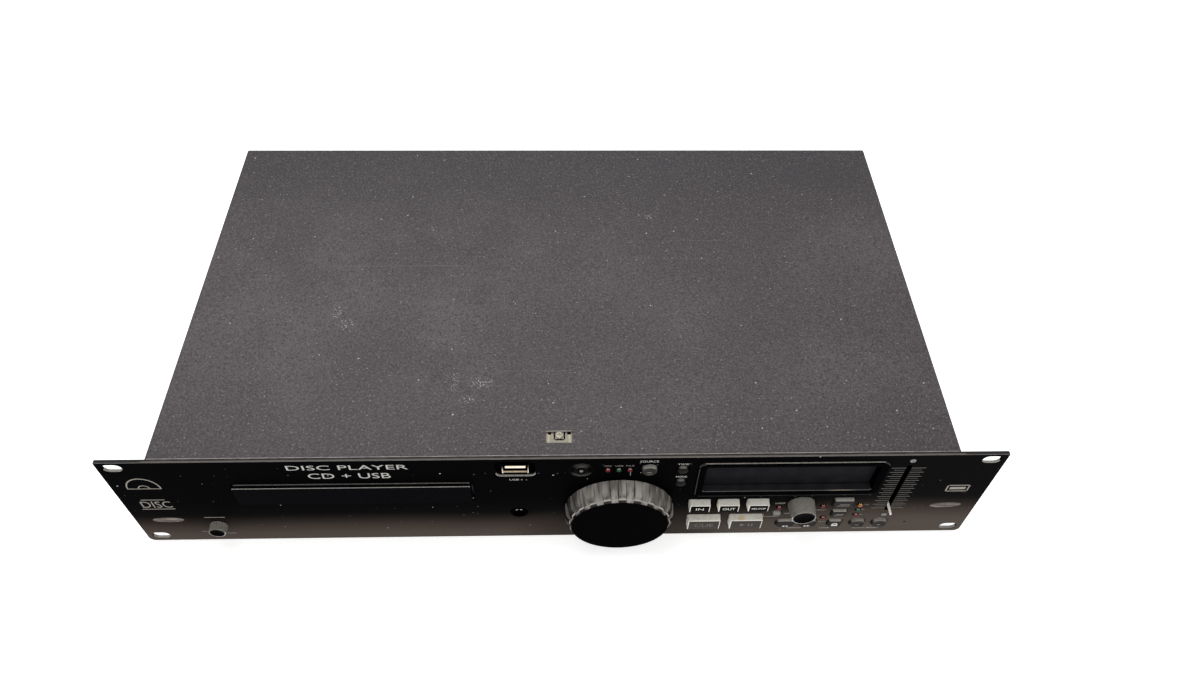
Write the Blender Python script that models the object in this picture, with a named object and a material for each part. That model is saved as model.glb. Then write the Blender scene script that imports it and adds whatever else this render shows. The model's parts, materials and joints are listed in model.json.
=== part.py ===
"""A rack disc player two units high, with a disc tray, a jog wheel and a pitch fader.

Metres, +X to the right seen from the front, +Y into the player, +Z up. The origin is at the
middle of the player's footprint, at the height that its feet stand on.
"""

import math

import bmesh
import bpy
from mathutils import Vector

# Front panel: a 19 inch plate two rack units high.
PANEL_WIDTH = 0.4820
PANEL_HEIGHT = 0.0881
PANEL_THICKNESS = 0.0020
PANEL_CORNER = 0.0035
PANEL_LIFT = 0.0007
EAR_WIDTH = 0.0253
RACK_SLOT_INSET = 0.00845
RACK_SLOT_MARGIN = 0.00595
RACK_SLOT_LENGTH = 0.0105
RACK_SLOT_HEIGHT = 0.0070

# Case of folded steel sheet.
CASE_DEPTH = 0.2508
COVER_DROP = 0.0016
COVER_SETBACK = 0.0026
COVER_BEND = 0.0015
COVER_SKIRT_GAP = 0.0006
SHEET = 0.0010
REAR_SHEET = 0.0012
PAN_WALL_DROP = 0.0070
PAN_FLANGE = 0.0080
BOSS_RADIUS = 0.0030
FOOT_HEIGHT = 0.0030
FOOT_RADIUS = 0.0070
FOOT_BEVEL = 0.0008
FOOT_INSET = 0.0250
WINDOW_WIDTH = 0.0142
WINDOW_DEPTH = 0.0076
WINDOW_SETBACK = 0.0146

# Clearances: at rest, between sliding pieces, and how far a cut overshoots.
SEAT = 0.0003
RUN = 0.0005
OVERRUN = 0.0010

# Places on the panel, as shares of its width from the middle and of its height from the bottom.
PLACE_SHARES = {
    "tray": (-0.2327, 0.6254),
    "usb": (-0.0476, 0.8837),
    "phones": (-0.0471, 0.3348),
    "level": (-0.4066, 0.2157),
    "jog": (0.0707, 0.4143),
    "open_close_button": (0.0257, 0.8638),
    "source_button": (0.1017, 0.8683),
    "time_button": (0.1390, 0.8627),
    "mode_button": (0.1390, 0.7083),
    "display": (0.2641, 0.7355),
    "in_button": (0.1660, 0.4285),
    "out_button": (0.2004, 0.4285),
    "reloop_button": (0.2357, 0.4285),
    "cue_button": (0.1750, 0.2077),
    "play_pause_button": (0.2262, 0.2077),
    "track": (0.2888, 0.3984),
    "plus_button": (0.2624, 0.2860),
    "search_back_button": (0.2770, 0.1498),
    "search_forward_button": (0.3046, 0.1498),
    "bank_upper_button": (0.3379, 0.4245),
    "bank_lower_button": (0.3382, 0.2804),
    "lock_button": (0.3383, 0.1447),
    "bend_minus_button": (0.3664, 0.1464),
    "bend_plus_button": (0.3938, 0.1464),
    "fader": (0.3950, 0.5936),
}
LIGHT_SHARES = (
    (0.0554, 0.8661),
    (0.0676, 0.8661),
    (0.0799, 0.8661),
    (0.2631, 0.3655),
    (0.3154, 0.3757),
    (0.3214, 0.2157),
    (0.3598, 0.3859),
    (0.3600, 0.3190),
    (0.3600, 0.2520),
)

# Front board with its switches and lights.
BOARD_DEPTH = 0.0100
BOARD_THICKNESS = 0.0016
BOARD_REACH = 0.0146
BOARD_STEP_REACH = 0.0107
BOARD_STEP_DROP = 0.01585
BOARD_BOTTOM = 0.0050
BOARD_TOP_MARGIN = 0.0056
SWITCH_SIDE = 0.0060
SWITCH_HEIGHT = 0.0032
PLUNGER_RADIUS = 0.0017
PLUNGER_HEIGHT = 0.0050
LIGHT_RADIUS = 0.0015
LIGHT_STAND = 0.0005
LIGHT_DOME = 0.0006
LIGHT_CLEARANCE = 0.0003

# Buttons.
BUTTON_TRAVEL = 0.0008
BUTTON_CLEARANCE = 0.00035
BUTTON_FLANGE = 0.0010
BUTTON_LIP = 0.0007
BUTTON_CHAMFER = 0.0005
BUTTON_STEM = 0.0015
CAP_WIDTH = 0.0122
CAP_HEIGHT = 0.0080
CAP_STAND = 0.0038
CAP_CORNER = 0.0009
MAIN_CAP_WIDTH = 0.0193
MAIN_CAP_HEIGHT = 0.0110
MAIN_CAP_STAND = 0.0038
BANK_WIDTH = 0.0117
BANK_HEIGHT = 0.0088
BANK_STAND = 0.0020
BANK_CORNER = 0.0012
SMALL_BANK_WIDTH = 0.0088
SMALL_BANK_HEIGHT = 0.0074
SMALL_BANK_STAND = 0.0015
SEARCH_WIDTH = 0.0114
SEARCH_HEIGHT = 0.0080
SEARCH_CORNER = 0.0036
SEARCH_STAND = 0.0015
LOCK_WIDTH = 0.0085
LOCK_HEIGHT = 0.0075
LOCK_CORNER = 0.0020
OPEN_RADIUS = 0.0041
OPEN_STAND = 0.0006
OPEN_RING_RADIUS = 0.0064
OPEN_RING_DEPTH = 0.0010
SOURCE_RADIUS = 0.0043
SOURCE_STAND = 0.0018
TIME_RADIUS = 0.0031
TIME_STAND = 0.0014
PLUS_RADIUS = 0.0025
PLUS_STAND = 0.0014
BEND_RADIUS = 0.0039
BEND_STAND = 0.0018
BEND_CLEARANCE = 0.0010

# Display.
FRAME_WIDTH = 0.1034
FRAME_HEIGHT = 0.0342
FRAME_CORNER = 0.0045
FRAME_STAND = 0.0012
FRAME_WALL = 0.0022
WINDOW_GLASS_WIDTH = 0.0945
WINDOW_GLASS_HEIGHT = 0.0255
GLASS_RISE = 0.0009
GLASS_THICKNESS = 0.0055
GLASS_LIP = 0.0012

# Jog wheel.
JOG_HEIGHT = 0.0130
JOG_RADIUS = 0.0308
JOG_FRONT_RADIUS = 0.0300
JOG_GROOVE = 0.0010
JOG_GROOVES = 21
JOG_GROOVE_STEPS = 6
JOG_LAND_SHARE = 0.60
JOG_CLEARANCE = 0.0010
JOG_FACE_RADIUS = 0.0268
JOG_FACE_THICKNESS = 0.0025
JOG_WEB_THICKNESS = 0.0022
JOG_HUB_RADIUS = 0.0090
JOG_SHAFT_RADIUS = 0.0040
BEARING_WALL = 0.0014
BEARING_FLANGE = 0.0090
BEARING_FLANGE_THICKNESS = 0.0020

# Knobs.
TRACK_BASE_RADIUS = 0.00775
TRACK_FRONT_RADIUS = 0.0064
TRACK_HEIGHT = 0.0089
TRACK_SINK = 0.0010
TRACK_RECESS = 0.0008
TRACK_HOLE_GAP = 0.0006
ENCODER_SIDE = 0.0120
ENCODER_HEIGHT = 0.0060
ENCODER_BUSH_RADIUS = 0.0035
ENCODER_SHAFT_RADIUS = 0.0030
KNOB_WALL = 0.0025
LEVEL_BASE_RADIUS = 0.0054
LEVEL_FRONT_RADIUS = 0.0048
LEVEL_HEIGHT = 0.0055
LEVEL_FOOT_GAP = 0.0006
LEVEL_RIBS = 20
LEVEL_RIB = 0.0004
LEVEL_RIB_STEPS = 2
LEVEL_LAND_SHARE = 0.50
LEVEL_KNOB_WALL = 0.0012
POT_SIDE = 0.0120
POT_DEPTH = 0.0070
POT_BUSH_RADIUS = 0.0034
POT_SHAFT_RADIUS = 0.0020

# Pitch fader.
FADER_SLOT_WIDTH = 0.0023
FADER_SLOT_LENGTH = 0.0503
FADER_WIDTH = 0.0088
FADER_LENGTH = 0.0570
FADER_WALL = 0.0014
FADER_EAR_LENGTH = 0.0658
FADER_EAR_WIDTH = 0.0062
FADER_EAR_THICKNESS = 0.0010
FADER_REST_DROP = 0.0171
LEVER_THICKNESS = 0.0010
LEVER_HEIGHT = 0.0040
LEVER_STAND = 0.0078
CARRIAGE_WIDTH = 0.0050
CARRIAGE_LENGTH = 0.0070
CARRIAGE_DEPTH = 0.0030
FADER_SCREW_SPACING = 0.0606
SCREW_HEAD_RADIUS = 0.0021
SCREW_HEAD_HEIGHT = 0.0010
SCREW_SHANK_RADIUS = 0.0013
SCREW_LENGTH = 0.0036
SCREW_RECESS_WIDTH = 0.0006
SCREW_RECESS_LENGTH = 0.0024
SCREW_RECESS_DEPTH = 0.0006

# Sockets on the front.
USB_OPENING_WIDTH = 0.0213
USB_OPENING_HEIGHT = 0.0143
USB_OPENING_CORNER = 0.0030
USB_WIDTH = 0.0140
USB_HEIGHT = 0.0076
USB_WALL = 0.0004
USB_STAND = 0.0003
USB_TONGUE_WIDTH = 0.0110
USB_TONGUE_HEIGHT = 0.0018
USB_TONGUE_SETBACK = 0.0012
PHONES_NOSE_RADIUS = 0.0048
PHONES_NOSE_STAND = 0.0004
PHONES_BORE_RADIUS = 0.00325
PHONES_WIDTH = 0.0146
PHONES_HEIGHT = 0.0150
PHONES_DEPTH = 0.0320

# Centre bracket behind the front board.
BRACKET_X_SHARE = 0.0010
BRACKET_WIDTH = 0.0148
BRACKET_TOP_DROP = 0.0017
BRACKET_TOP_LENGTH = 0.0120
BRACKET_BACK = 0.0085
BRACKET_SCREW_SETBACK = 0.0164
BRACKET_FOOT_LENGTH = 0.0170
BRACKET_BOARD_GAP = 0.0006
BRACKET_SCREW_HOLE = 0.0016

# Tray and its door. Heights and depths are from the panel's bottom edge and from its face.
TRAY_OPENING_MARGIN_X = 0.0011
TRAY_OPENING_MARGIN_Z = 0.0009
DOOR_WIDTH = 0.1283
DOOR_HEIGHT = 0.0176
DOOR_STAND = 0.0025
DOOR_THICKNESS = 0.0045
TRAY_WIDTH = 0.1260
TRAY_LENGTH = 0.1480
TRAY_DROP = 0.0050
TRAY_THICKNESS = 0.0050
TRAY_LIP_THICKNESS = 0.0020
TRAY_LIP_RISE = 0.0050
TRAY_LIP_WIDTH = 0.1200
WELL_RADIUS = 0.0612
WELL_DEPTH = 0.0024
WELL_SETBACK = 0.0720
TRAY_SLOT_WIDTH = 0.0380
TRAY_SLOT_RADIUS = 0.0190
RACK_OFFSET = 0.0500
RACK_BAR_WIDTH = 0.0040
RACK_DROP = 0.0025
RACK_FRONT = 0.0060

# Tray gear, belt and loading motor.
GEAR_MODULE = 0.0010
GEAR_TEETH = 20
TIP_SHARE = 0.90
ROOT_SHARE = 1.15
TOOTH_TIP_SHARE = 0.10
TOOTH_ROOT_SHARE = 0.24
GEAR_SETBACK = 0.0185
GEAR_THICKNESS = 0.0028
WHEEL_RADIUS = 0.0140
WHEEL_THICKNESS = 0.0050
WHEEL_GROOVE = 0.0014
WHEEL_GROOVE_HEIGHT = 0.0022
GEAR_PIN_RADIUS = 0.0018
BELT_THICKNESS = 0.0012
PULLEY_RADIUS = 0.0045
PULLEY_OFFSET = 0.0100
PULLEY_SETBACK = 0.0180
MOTOR_RADIUS = 0.0120
MOTOR_HEIGHT = 0.0150
MOTOR_SHAFT_RADIUS = 0.0010

# Loader frame.
LOADER_START = 0.0028
LOADER_LENGTH = 0.1650
LOADER_WALL = 0.0025
LOADER_FLOOR_DROP = 0.0250
LOADER_FLOOR = 0.0020
LOADER_WINDOW_START = 0.0480
LOADER_WINDOW_LENGTH = 0.1120
LOADER_WINDOW_WIDTH = 0.0800
LOADER_LEDGE = 0.0030
LOADER_LEDGE_THICKNESS = 0.0020
LOADER_TAB_THICKNESS = 0.0018
LOADER_TAB_LENGTH = 0.0180
LOADER_TAB_SETBACK = 0.1200
LOADER_LEG_RADIUS = 0.0045
LOADER_LEG_INSET = 0.0080
BRIDGE_RISE = 0.0050
BRIDGE_THICKNESS = 0.0025
BRIDGE_LENGTH = 0.0360
LUG_THICKNESS = 0.0050
LUG_LENGTH = 0.0100
LUG_RISE = 0.0060

# Disc clamp.
CLAMP_RADIUS = 0.0140
CLAMP_FLANGE = 0.0030
CLAMP_NECK_RADIUS = 0.0080
CLAMP_CAP_RADIUS = 0.0120
CLAMP_CAP_THICKNESS = 0.0018
CLAMP_RECESS_RADIUS = 0.0084
CLAMP_RECESS_DEPTH = 0.0024
DISC_THICKNESS = 0.0012

# Deck: tilting frame, turntable, motor, rods, pickup and sled gear.
DECK_DROP = 0.0126
DECK_THICKNESS = 0.0025
DECK_WIDTH = 0.0720
DECK_START = 0.0520
DECK_LENGTH = 0.1040
DECK_WINDOW_WIDTH = 0.0480
DECK_WINDOW_START = 0.0900
DECK_WINDOW_LENGTH = 0.0500
HINGE_SETBACK = 0.1520
TRUNNION_RADIUS = 0.0020
TRUNNION_LENGTH = 0.0066
ROD_RADIUS = 0.0015
ROD_OFFSET = 0.0200
ROD_RISE = 0.0035
ROD_START = 0.0840
ROD_END = 0.1500
POST_WIDTH = 0.0050
POST_LENGTH = 0.0030
PLATTER_RADIUS = 0.0150
PLATTER_THICKNESS = 0.0022
DISC_LIFT = 0.0016
CONE_RADIUS = 0.0073
CONE_TOP_RADIUS = 0.0060
CONE_HEIGHT = 0.0030
HUB_RADIUS = 0.0030
SPINDLE_MOTOR_RADIUS = 0.0125
SPINDLE_MOTOR_HEIGHT = 0.0075
SPINDLE_SHAFT_RADIUS = 0.0010
PICKUP_START = 0.0885
PICKUP_LENGTH = 0.0240
PICKUP_HEIGHT = 0.0058
PICKUP_EAR = 0.0080
LENS_RADIUS = 0.0045
LENS_HEIGHT = 0.0038
SLED_MODULE = 0.0005
SLED_TEETH = 20
SLED_RACK_WIDTH = 0.0020
SLED_RACK_END = 0.1250
SLED_GEAR_SETBACK = 0.1218
SLED_GEAR_THICKNESS = 0.0020
SLED_PIN_RADIUS = 0.0010

# Boards and transformer in the right half of the case.
STANDOFF = 0.0060
LOADER_TO_BOARD = 0.0140
BOARD_GAP = 0.0140
MAIN_BOARD_START = 0.0600
MAIN_BOARD_REAR = 0.0048
POWER_BOARD_SIDE = 0.0124
POWER_BOARD_WIDTH = 0.1000
POWER_BOARD_START = 0.1100
POWER_BOARD_REAR = 0.0168
BOSS_INSET = 0.0060
CHIP_HEIGHT = 0.0016
CAN_RADIUS = 0.0060
CAN_HEIGHT = 0.0160
SMALL_CAN_RADIUS = 0.0030
SMALL_CAN_HEIGHT = 0.0080
HEADER_HEIGHT = 0.0090
HEAT_SINK_HEIGHT = 0.0300
# Each box on a board: left, start, width and length as shares of the board, with its height.
MAIN_PART_SHARES = (
    (0.20, 0.30, 0.26, 0.16, CHIP_HEIGHT),
    (0.62, 0.34, 0.16, 0.10, CHIP_HEIGHT),
    (0.30, 0.62, 0.14, 0.12, CHIP_HEIGHT),
    (0.10, 0.06, 0.45, 0.03, HEADER_HEIGHT),
    (0.66, 0.06, 0.24, 0.03, HEADER_HEIGHT),
    (0.88, 0.55, 0.05, 0.22, HEADER_HEIGHT),
)
MAIN_CAN_SHARES = ((0.62, 0.58), (0.74, 0.58), (0.62, 0.68), (0.74, 0.68), (0.15, 0.55), (0.15, 0.65))
POWER_PART_SHARES = (
    (0.08, 0.12, 0.06, 0.44, HEAT_SINK_HEIGHT),
    (0.10, 0.84, 0.34, 0.06, HEADER_HEIGHT),
    (0.58, 0.84, 0.30, 0.06, HEADER_HEIGHT),
    (0.62, 0.10, 0.22, 0.10, HEADER_HEIGHT),
)
POWER_CAN_SHARES = ((0.40, 0.30), (0.58, 0.30), (0.40, 0.50), (0.76, 0.50))
CORE_WIDTH = 0.0570
CORE_HEIGHT = 0.0470
CORE_LENGTH = 0.0200
COIL_WIDTH = 0.0360
COIL_HEIGHT = 0.0330
COIL_LENGTH = 0.0420
STRAP_WIDTH = 0.0760
STRAP_THICKNESS = 0.0012
TRANSFORMER_SIDE = 0.0244
TRANSFORMER_SETBACK = 0.0620

# Rear: mains inlet with its switch, and output sockets.
INLET_SIDE = 0.0294
INLET_RISE = 0.0420
INLET_WIDTH = 0.0500
INLET_HEIGHT = 0.0270
INLET_CORNER = 0.0025
INLET_FLANGE = 0.0018
INLET_LIP = 0.0020
INLET_DEPTH = 0.0240
INLET_WELL_OFFSET = 0.0090
INLET_WELL_WIDTH = 0.0244
INLET_WELL_HEIGHT = 0.0166
INLET_WELL_CORNER = 0.0040
INLET_WELL_DEPTH = 0.0160
PIN_THICKNESS = 0.0020
PIN_HEIGHT = 0.0040
PIN_SPACING = 0.0070
PIN_RISE = 0.0020
PIN_SETBACK = 0.0020
ROCKER_OFFSET = 0.0145
ROCKER_WIDTH = 0.0120
ROCKER_HALF = 0.0080
ROCKER_BAY_HALF = 0.0092
ROCKER_FRONT = 0.0030
ROCKER_DIP = 0.0012
ROCKER_BACK = 0.0030
ROCKER_DEPTH = 0.0030
ROCKER_PIN_RADIUS = 0.0010
ROCKER_PIN_LENGTH = 0.0012
ROCKER_TILT = math.radians(8)
ROCKER_WELL_DEPTH = 0.0100
BARREL_LENGTH = 0.0090
BARREL_RADIUS = 0.0041
BARREL_BORE = 0.0016
BARREL_SPACING = 0.0140
BARRELS = 3
OUTPUT_RISE = 0.0220
OUTPUT_HEIGHT = 0.0140
OUTPUT_LENGTH = 0.0130

# How finely round shapes are divided.
STEPS = 16
FINE_STEPS = 40
SMALL_STEPS = 8
CORNER_STEPS = 2
SHARP_ANGLE = math.radians(35)

# Worked out from the sizes above.
TOTAL_DEPTH = JOG_HEIGHT + CASE_DEPTH + BARREL_LENGTH
CASE_WIDTH = PANEL_WIDTH - 2 * EAR_WIDTH
RACK_SPACING_X = PANEL_WIDTH - 2 * RACK_SLOT_INSET
RACK_SPACING_Z = PANEL_HEIGHT - 2 * RACK_SLOT_MARGIN
FACE_Y = JOG_HEIGHT - TOTAL_DEPTH / 2
FLOOR_Z = FOOT_HEIGHT + SHEET
COVER_TOP = PANEL_LIFT + PANEL_HEIGHT - COVER_DROP
PAN_HALF = CASE_WIDTH / 2 - SHEET - SEAT
BEHIND_PANEL = PANEL_THICKNESS + SEAT
TRAY_START = DOOR_THICKNESS - DOOR_STAND + SEAT


def depth(setback):
    """World Y of a point that lies this far behind the panel's face."""
    return FACE_Y + setback


def place(name):
    """World X and Z of a named place on the panel."""
    across_share, up_share = PLACE_SHARES[name]
    return across_share * PANEL_WIDTH, PANEL_LIFT + up_share * PANEL_HEIGHT


def light_places():
    for across_share, up_share in LIGHT_SHARES:
        yield across_share * PANEL_WIDTH, PANEL_LIFT + up_share * PANEL_HEIGHT


TRAY_X, TRAY_Z = place("tray")
TRAY_BOTTOM = TRAY_Z - TRAY_DROP
TRAY_TOP = TRAY_BOTTOM + TRAY_THICKNESS
LOADER_HALF = TRAY_WIDTH / 2 + RUN
LOADER_FLOOR_TOP = TRAY_Z - LOADER_FLOOR_DROP + LOADER_FLOOR
DISC_REST = TRAY_TOP - WELL_DEPTH + DISC_LIFT
DECK_BOTTOM = TRAY_Z - DECK_DROP - DECK_THICKNESS
DECK_TOP = DECK_BOTTOM + DECK_THICKNESS
BRIDGE_BOTTOM = TRAY_TOP + BRIDGE_RISE
BRIDGE_TOP = BRIDGE_BOTTOM + BRIDGE_THICKNESS
GEAR_RADIUS = GEAR_MODULE * GEAR_TEETH / 2
GEAR_X = TRAY_X - RACK_OFFSET + RACK_BAR_WIDTH / 2 + GEAR_MODULE + GEAR_RADIUS
GEAR_TOP = TRAY_BOTTOM - SEAT
WHEEL_TOP = GEAR_TOP - GEAR_THICKNESS
BELT_Z = WHEEL_TOP - WHEEL_THICKNESS / 2
PULLEY_X = TRAY_X + PULLEY_OFFSET
SLED_RADIUS = SLED_MODULE * SLED_TEETH / 2
SLED_RACK_X = TRAY_X + ROD_OFFSET + PICKUP_EAR / 2 + SEAT
SLED_GEAR_X = SLED_RACK_X + SLED_RACK_WIDTH + SLED_MODULE + SLED_RADIUS
ROD_Z = DECK_TOP + ROD_RISE
HINGE_Z = DECK_BOTTOM + DECK_THICKNESS / 2
LEVER_Z = place("fader")[1] - FADER_REST_DROP
SIDE_WALL = PAN_HALF - SHEET
POWER_BOARD_LEFT = SIDE_WALL - POWER_BOARD_SIDE - POWER_BOARD_WIDTH
POWER_BOARD_LENGTH = CASE_DEPTH - INLET_DEPTH - POWER_BOARD_REAR - POWER_BOARD_START
MAIN_BOARD_LEFT = TRAY_X + LOADER_HALF + LOADER_WALL + LOADER_TO_BOARD
MAIN_BOARD_WIDTH = POWER_BOARD_LEFT - BOARD_GAP - MAIN_BOARD_LEFT
MAIN_BOARD_LENGTH = CASE_DEPTH - MAIN_BOARD_REAR - MAIN_BOARD_START
TRANSFORMER_X = SIDE_WALL - TRANSFORMER_SIDE - STRAP_WIDTH / 2
INLET_X = SIDE_WALL - INLET_SIDE - INLET_WIDTH / 2
INLET_Z = FOOT_HEIGHT + INLET_RISE
ROCKER_X = INLET_X + ROCKER_OFFSET
ROCKER_Y = depth(CASE_DEPTH) - ROCKER_DEPTH + INLET_FLANGE
OUTPUT_X = MAIN_BOARD_LEFT + MAIN_BOARD_WIDTH / 2
OUTPUT_Z = FOOT_HEIGHT + OUTPUT_RISE
BOARD_REST = FLOOR_Z + STANDOFF + SEAT


# Outlines: lists of points in a plane.


def arc(centre, radius, start, end, steps):
    """Points along an arc, from one angle to another."""
    turn = (end - start) / steps
    return [
        (centre[0] + radius * math.cos(start + turn * i), centre[1] + radius * math.sin(start + turn * i))
        for i in range(steps + 1)
    ]


def circle(centre, radius, steps=STEPS):
    return arc(centre, radius, 0, math.tau, steps)[:-1]


def rectangle(centre, width, height, corner=0.0, steps=CORNER_STEPS):
    """A rectangle about a centre, with rounded corners where corner isn't zero."""
    half_width, half_height = width / 2 - corner, height / 2 - corner
    points = []
    for quarter, (side, up) in enumerate(((1, 1), (-1, 1), (-1, -1), (1, -1))):
        middle = (centre[0] + side * half_width, centre[1] + up * half_height)
        start = quarter * math.pi / 2
        points += arc(middle, corner, start, start + math.pi / 2, steps) if corner else [middle]
    return points


def span(left, right, bottom, top):
    """A plain rectangle from its sides."""
    return [(left, bottom), (right, bottom), (right, top), (left, top)]


def waved(centre, radius, dip, waves, land_share, steps):
    """A circle with this many grooves of a given depth; the land share of each wave stays round."""
    points = []
    for i in range(waves * steps):
        share = (i % steps) / steps
        inside = max(0.0, (share - land_share) / (1 - land_share))
        bite = dip * math.sin(math.pi * inside)
        angle = math.tau * i / (waves * steps)
        points.append((centre[0] + (radius - bite) * math.cos(angle),
                centre[1] + (radius - bite) * math.sin(angle)))
    return points


def gear_outline(centre, module, teeth, phase):
    """A spur gear's outline, with straight-sided teeth; phase is the angle of the first tooth."""
    pitch_radius = module * teeth / 2
    tip, root = pitch_radius + module * TIP_SHARE, pitch_radius - module * ROOT_SHARE
    pitch_angle = math.tau / teeth
    points = []
    for i in range(teeth):
        middle = phase + pitch_angle * i
        for radius, share in ((root, -TOOTH_ROOT_SHARE), (tip, -TOOTH_TIP_SHARE), (tip, TOOTH_TIP_SHARE),
                (root, TOOTH_ROOT_SHARE)):
            angle = middle + pitch_angle * share
            points.append((centre[0] + radius * math.cos(angle), centre[1] + radius * math.sin(angle)))
    return points


def rack_outline(pitch_x, back_x, start, end, module, tooth_at):
    """A straight rack seen from above: its back edge, and teeth facing +X about the pitch line."""
    pitch = math.pi * module
    tip_x, root_x = pitch_x + module * TIP_SHARE, pitch_x - module * ROOT_SHARE
    first = math.ceil((start - tooth_at + pitch / 2) / pitch)
    last = math.floor((end - tooth_at - pitch / 2) / pitch)
    points = [(back_x, end), (back_x, start), (root_x, start)]
    for i in range(first, last + 1):
        middle = tooth_at + pitch * i
        for x, share in ((root_x, -TOOTH_ROOT_SHARE), (tip_x, -TOOTH_TIP_SHARE), (tip_x, TOOTH_TIP_SHARE),
                (root_x, TOOTH_ROOT_SHARE)):
            points.append((x, middle + pitch * share))
    points.append((root_x, end))
    return points


def belt_outline(first, first_radius, second, second_radius, steps):
    """The outline of a loop round two wheels, whose centres lie in one plane."""
    along = math.atan2(second[1] - first[1], second[0] - first[0])
    distance = math.dist(first, second)
    spread = math.acos((first_radius - second_radius) / distance)
    points = arc(first, first_radius, along + spread, along + math.tau - spread, steps)
    points += arc(second, second_radius, along - spread, along + spread, steps)
    return points


# Solids: closed meshes from stacked outlines.


def loft(sections, axis):
    """A closed mesh through a stack of outlines with as many points each, along X, Y or Z."""
    spots = {
        "x": lambda a, b, level: (level, a, b),
        "y": lambda a, b, level: (a, level, b),
        "z": lambda a, b, level: (a, b, level),
    }[axis]
    shape = bmesh.new()
    rings = [[shape.verts.new(spots(a, b, level)) for a, b in outline] for level, outline in sections]
    shape.faces.new(rings[0])
    shape.faces.new(rings[-1])
    for lower, upper in zip(rings, rings[1:]):
        for i in range(len(lower)):
            shape.faces.new((lower[i - 1], lower[i], upper[i], upper[i - 1]))
    return closed_mesh(shape)


def closed_mesh(shape):
    """A mesh from a closed bmesh, with its faces pointing out."""
    bmesh.ops.recalc_face_normals(shape, faces=shape.faces)
    if shape.calc_volume(signed=True) < 0:
        bmesh.ops.reverse_faces(shape, faces=shape.faces)
    mesh = bpy.data.meshes.new("solid")
    shape.to_mesh(mesh)
    shape.free()
    return mesh


def prism(outline, axis, low, high):
    return loft([(low, outline), (high, outline)], axis)


def box(low, high):
    return prism(span(low[0], high[0], low[1], high[1]), "z", low[2], high[2])


def turned(centre, axis, levels, steps=STEPS):
    """A turned solid about an axis, from pairs of level and radius."""
    return loft([(level, circle(centre, radius, steps)) for level, radius in levels], axis)


def stepped_pin(centre, bottom, shoulder, top, wide, narrow):
    """An upright pin with a wider boss below its shoulder."""
    return turned(centre, "z", ((bottom, wide), (shoulder, wide), (shoulder, narrow), (top, narrow)),
            SMALL_STEPS)


# Materials and pieces.


def finish(name, colour, roughness, metallic=0.0):
    """A Principled material, made once for each name."""
    found = bpy.data.materials.get(name)
    if found:
        return found
    made = bpy.data.materials.new(name)
    made.use_nodes = True
    shader = made.node_tree.nodes["Principled BSDF"]
    shader.inputs["Base Color"].default_value = (*colour, 1.0)
    shader.inputs["Roughness"].default_value = roughness
    shader.inputs["Metallic"].default_value = metallic
    made.diffuse_color = (*colour, 1.0)
    return made


def finishes():
    """Every finish of the player, by name."""
    return {
        "grey_paint": finish("grey_paint", (0.075, 0.075, 0.080), 0.55),
        "black_gloss": finish("black_gloss", (0.008, 0.008, 0.009), 0.22),
        "door_gloss": finish("door_gloss", (0.008, 0.008, 0.009), 0.20),
        "zinc": finish("zinc", (0.62, 0.60, 0.52), 0.35, 1.0),
        "yellow_zinc": finish("yellow_zinc", (0.62, 0.55, 0.34), 0.38, 1.0),
        "steel": finish("steel", (0.60, 0.60, 0.61), 0.28, 1.0),
        "rubber": finish("rubber", (0.015, 0.015, 0.015), 0.85),
        "black_plastic": finish("black_plastic", (0.012, 0.012, 0.013), 0.40),
        "dark_grey_plastic": finish("dark_grey_plastic", (0.060, 0.058, 0.056), 0.50),
        "white_plastic": finish("white_plastic", (0.62, 0.61, 0.57), 0.42),
        "grey_plastic": finish("grey_plastic", (0.16, 0.16, 0.16), 0.50),
        "natural_plastic": finish("natural_plastic", (0.70, 0.68, 0.62), 0.45),
        "display_glass": finish("display_glass", (0.010, 0.012, 0.016), 0.08),
        "board": finish("board", (0.020, 0.150, 0.060), 0.45),
        "fader_metal": finish("fader_metal", (0.55, 0.55, 0.52), 0.30, 1.0),
    }


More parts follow.
